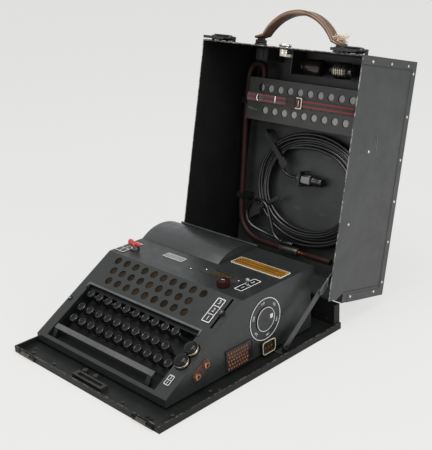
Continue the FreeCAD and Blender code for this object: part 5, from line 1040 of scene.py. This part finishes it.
def handle():
    """Stitched leather handle on two metal loops, its right root worn to loose fibres."""
    radius, middle_y = 80.4, HANDLE_PIVOT_Y - 54.0 + 84.787
    reach, steps = radians(58.5), 32
    b = Build(LID)
    path = [(-85.0, -194.5), (-78.0, -196.0)]
    for step in range(steps + 1):
        angle = -reach + 2 * reach * step / steps
        path.append((radius * sin(angle), middle_y - radius * cos(angle)))
    path = [(x, y, HANDLE_RISE) for x, y in path + [(78.0, -196.0), (85.0, -194.5)]]

    def fullness(share):
        return sin(pi * share) ** 0.6

    def section(share):
        return rounded(3.6 + 3.6 * fullness(share), 20.5 + 1.2 * fullness(share), 1.5, 3)

    b.sweep(path, section, LEATHER, ups=(0, 0, 1))
    for side in (-1, 1):
        edge = [(x * 1.008, y - 0.25, HANDLE_RISE + side * 10.3) for x, y, z in path[1:-1]]
        b.sweep(edge, circle(0.75, 6), TAN)
        for index in range(2, len(path) - 3):
            for part in (0.25, 0.75):
                first, last = Vector(path[index]), Vector(path[index + 1])
                spot = first.lerp(last, part)
                away = (spot - Vector((0, middle_y, HANDLE_RISE))).normalized()
                spot += away * (1.8 + 1.8 * fullness(index / (len(path) - 1))) + Vector((0, 0, side * 7.6))
                ahead = (last - first).normalized()
                b.sweep([spot - ahead * 0.9, spot + away * 0.25, spot + ahead * 0.9], circle(0.38, 5), THREAD)
    for side in (-1, 1):
        b.lathe([(3.0, -7.0), (3.0, 7.0)], RUST, side * HANDLE_HALF, HANDLE_PIVOT_Y, HANDLE_RISE, "x")
        pivot = shift(side * HANDLE_HALF, HANDLE_PIVOT_Y, HANDLE_RISE) @ spin(QUARTER, "X")
        b.plate((13.6, 5.4, 1.0), -3.2, -0.2, RUST, pivot @ shift(0, 0, 6.0))
        b.rivet(side * 72.0, -203.3, HANDLE_RISE, "y", 2.6, 1.0, RUST, -1)
    draw = rng.uniform
    for _ in range(FIBRES):
        start = Vector((draw(66, 80), draw(-206, -199), HANDLE_RISE + draw(-10, 10)))
        drift = Vector((draw(1, 11), draw(-7, 6), draw(-5, 5)))
        curl = Vector((draw(-2, 2), draw(-2, 2), draw(-2, 2)))
        b.sweep([start, start + drift * 0.5 + curl, start + drift], circle(draw(0.2, 0.42), 4), FIBRE)
    b.finish("leather_handle", "carrying_handle")


panel_strap()
handle()


RIM_RIVET_Z = 144.4
LID_RIVETS = [(TRAY_SIDE, -174.5, z) for z in (35, 83, 128)]
LID_RIVETS += [(TRAY_SIDE, y, RIM_RIVET_Z) for y in (-164, -99, -33, 32, 96, 161)]
LID_RIVETS += [(TRAY_SIDE, 174.0, z) for z in (62, 124)]
LID_RIVETS += [(TRAY_SIDE - 0.8, -46, 57), (TRAY_SIDE - 0.8, 61, 32)]
# Each scratch on the lid's right-hand wall as y, z, length and lean.
SCRATCHES = ((-60.0, 74.0, 26.0, 0.12), (-58.0, 70.0, 9.0, 0.25), (88.0, 22.0, 12.0, -0.1),
             (20.0, 96.0, 7.0, 0.4))
PANEL_FRONT, WINDOW_MARGIN = -129.657, 29.0
ADAPTER = (-156.657, 127.076)


def lid_rivets():
    """Domed rivets, dark seam lines that paint the shade of the edge grooves, and scratches on the outside of
    the lid.
    """
    b = Build(LID)
    for x, y, z in LID_RIVETS:
        b.rivet(x, y, z, "x", 2.3, 1.1, RIVET)
        b.rivet(-x, y, z, "x", 2.3, 1.1, RIVET, sign=-1)
    for x in (-120, -95, -45, 45, 95, 120):
        b.rivet(x, TRAY_FRONT, RIM_RIVET_Z, "y", 2.0, 1.0, RIVET, sign=-1)
    # Thin dark lines along the edge strips paint the shade in their grooves.
    for side in (-1, 1):
        wall = side * (TRAY_SIDE + 0.03) - 0.08
        b.block(wall, -170.0, 138.9, 0.16, 336.0, 0.7, INK_AND_SHADE)
        b.block(wall, -169.6, 12.0, 0.16, 0.7, 127.0, INK_AND_SHADE)
        b.block(wall, 165.6, 44.0, 0.16, 0.7, 95.0, INK_AND_SHADE)
    for y, z, long, lean in SCRATCHES:
        at = shift(TRAY_SIDE + 0.02, y, z) @ spin(lean, "X")
        b.plate((0.12, long, 0.05), -0.2, 0.2, SCUFF, at)
    b.finish("lid_rivets", "lid_shell", replaces=False)


def lid_details():
    """Lock flanges, dark window linings that paint the shade inside the window holes, adapter rings and the
    bracket's pale plate, inside the lid's front.
    """
    b = Build(LID)
    b.lathe([(8.4, 4.2), (9.6, 3.6), (9.8, 0.0)], NICKEL, 0, -186.7, 30.0, "y")
    b.lathe([(8.6, -1.0), (8.6, 4.0), (7.8, 4.8)], NICKEL, 0, -180.0, 30.0, "y")
    b.block(3.0, -172.0, 26.0, 12.0, 4.0, 5.0, CREAM)
    b.block(-116.0, -176.0, 104.2, 6.5, 14.0, 1.3, PANEL)
    ring = [(13.2, 0.0), (13.7, 0.6), (13.7, 1.6), (13.2, 2.2)]
    for index in range(5):
        b.lathe(ring, GILT, 32.0 + index * 4.0, *ADAPTER, "x", caps=(False, False))
    first_x, first_y = PANEL_LEFT + WINDOW_MARGIN, PANEL_FRONT + 16.0
    # Dark linings in the panel's window holes are painted shade of the holes' depth.
    for line, count in enumerate((10, 9, 9)):
        for column in range(count):
            b.lathe([(6.45, 105.4), (6.4, 106.0), (5.8, 106.95)], INK_AND_SHADE,
                    first_x + line * 6.7 + column * KEY_PITCH, first_y + line * 18.35, steps=24,
                    caps=(False, False))
    shut = [(first_x + across, first_y + up) for across, up in circle(5.8, 24) if across <= 0.01]
    b.plate(shut, 106.3, 106.7, INK_AND_SHADE)
    for side in (-1, 1):
        b.block(side * HANDLE_HALF - 10.0, -184.8, 58.0, 20.0, 2.3, 8.0, HOOK_PAINT_AND_SHADE)
    b.finish("lid_details", "lid_fittings", replaces=False)


LATCH_X, LATCH_PIN = 129.0, (-187.457, 26.3)


def latch_sleeves():
    """Sleeve and thumb plate around each latch's pin."""
    b = Build(LID)
    for side in (-1, 1):
        x = side * LATCH_X
        b.lathe([(4.0, -18.0), (4.5, -17.0), (4.5, 17.0), (4.0, 18.0)], HOOK_PAINT_AND_SHADE, x, *LATCH_PIN, "x")
        b.block(x - 14.0, -192.4, 17.5, 28.0, 2.2, 12.0, HOOK_PAINT_AND_SHADE)
        for along in (-7.0, 8.0):
            b.lathe([(3.6, -3.0), (4.9, -2.0), (4.9, 2.0), (3.6, 3.0)], RUST, x + along, *LATCH_PIN, "x")
    b.finish("latch_sleeves", "lid_latches", 0.4, replaces=False)


def catch_lugs():
    """Worn lugs on the tray's front, above the strips that the latches grip."""
    b = Build(ROOM)
    for side in (-1, 1):
        b.block(side * LATCH_X - 9.0, -186.0, 3.7, 18.0, 3.6, 4.2, BROWN_STEEL)
        b.lathe([(1.6, -9.5), (2.0, -9.0), (2.0, 9.0), (1.6, 9.5)], BROWN_STEEL, side * LATCH_X, -184.4,
                7.4, "x", steps=16)
    b.finish("catch_lugs", "tray_fittings", 0.4, replaces=False)


lid_rivets()
lid_details()
catch_lugs()
latch_sleeves()
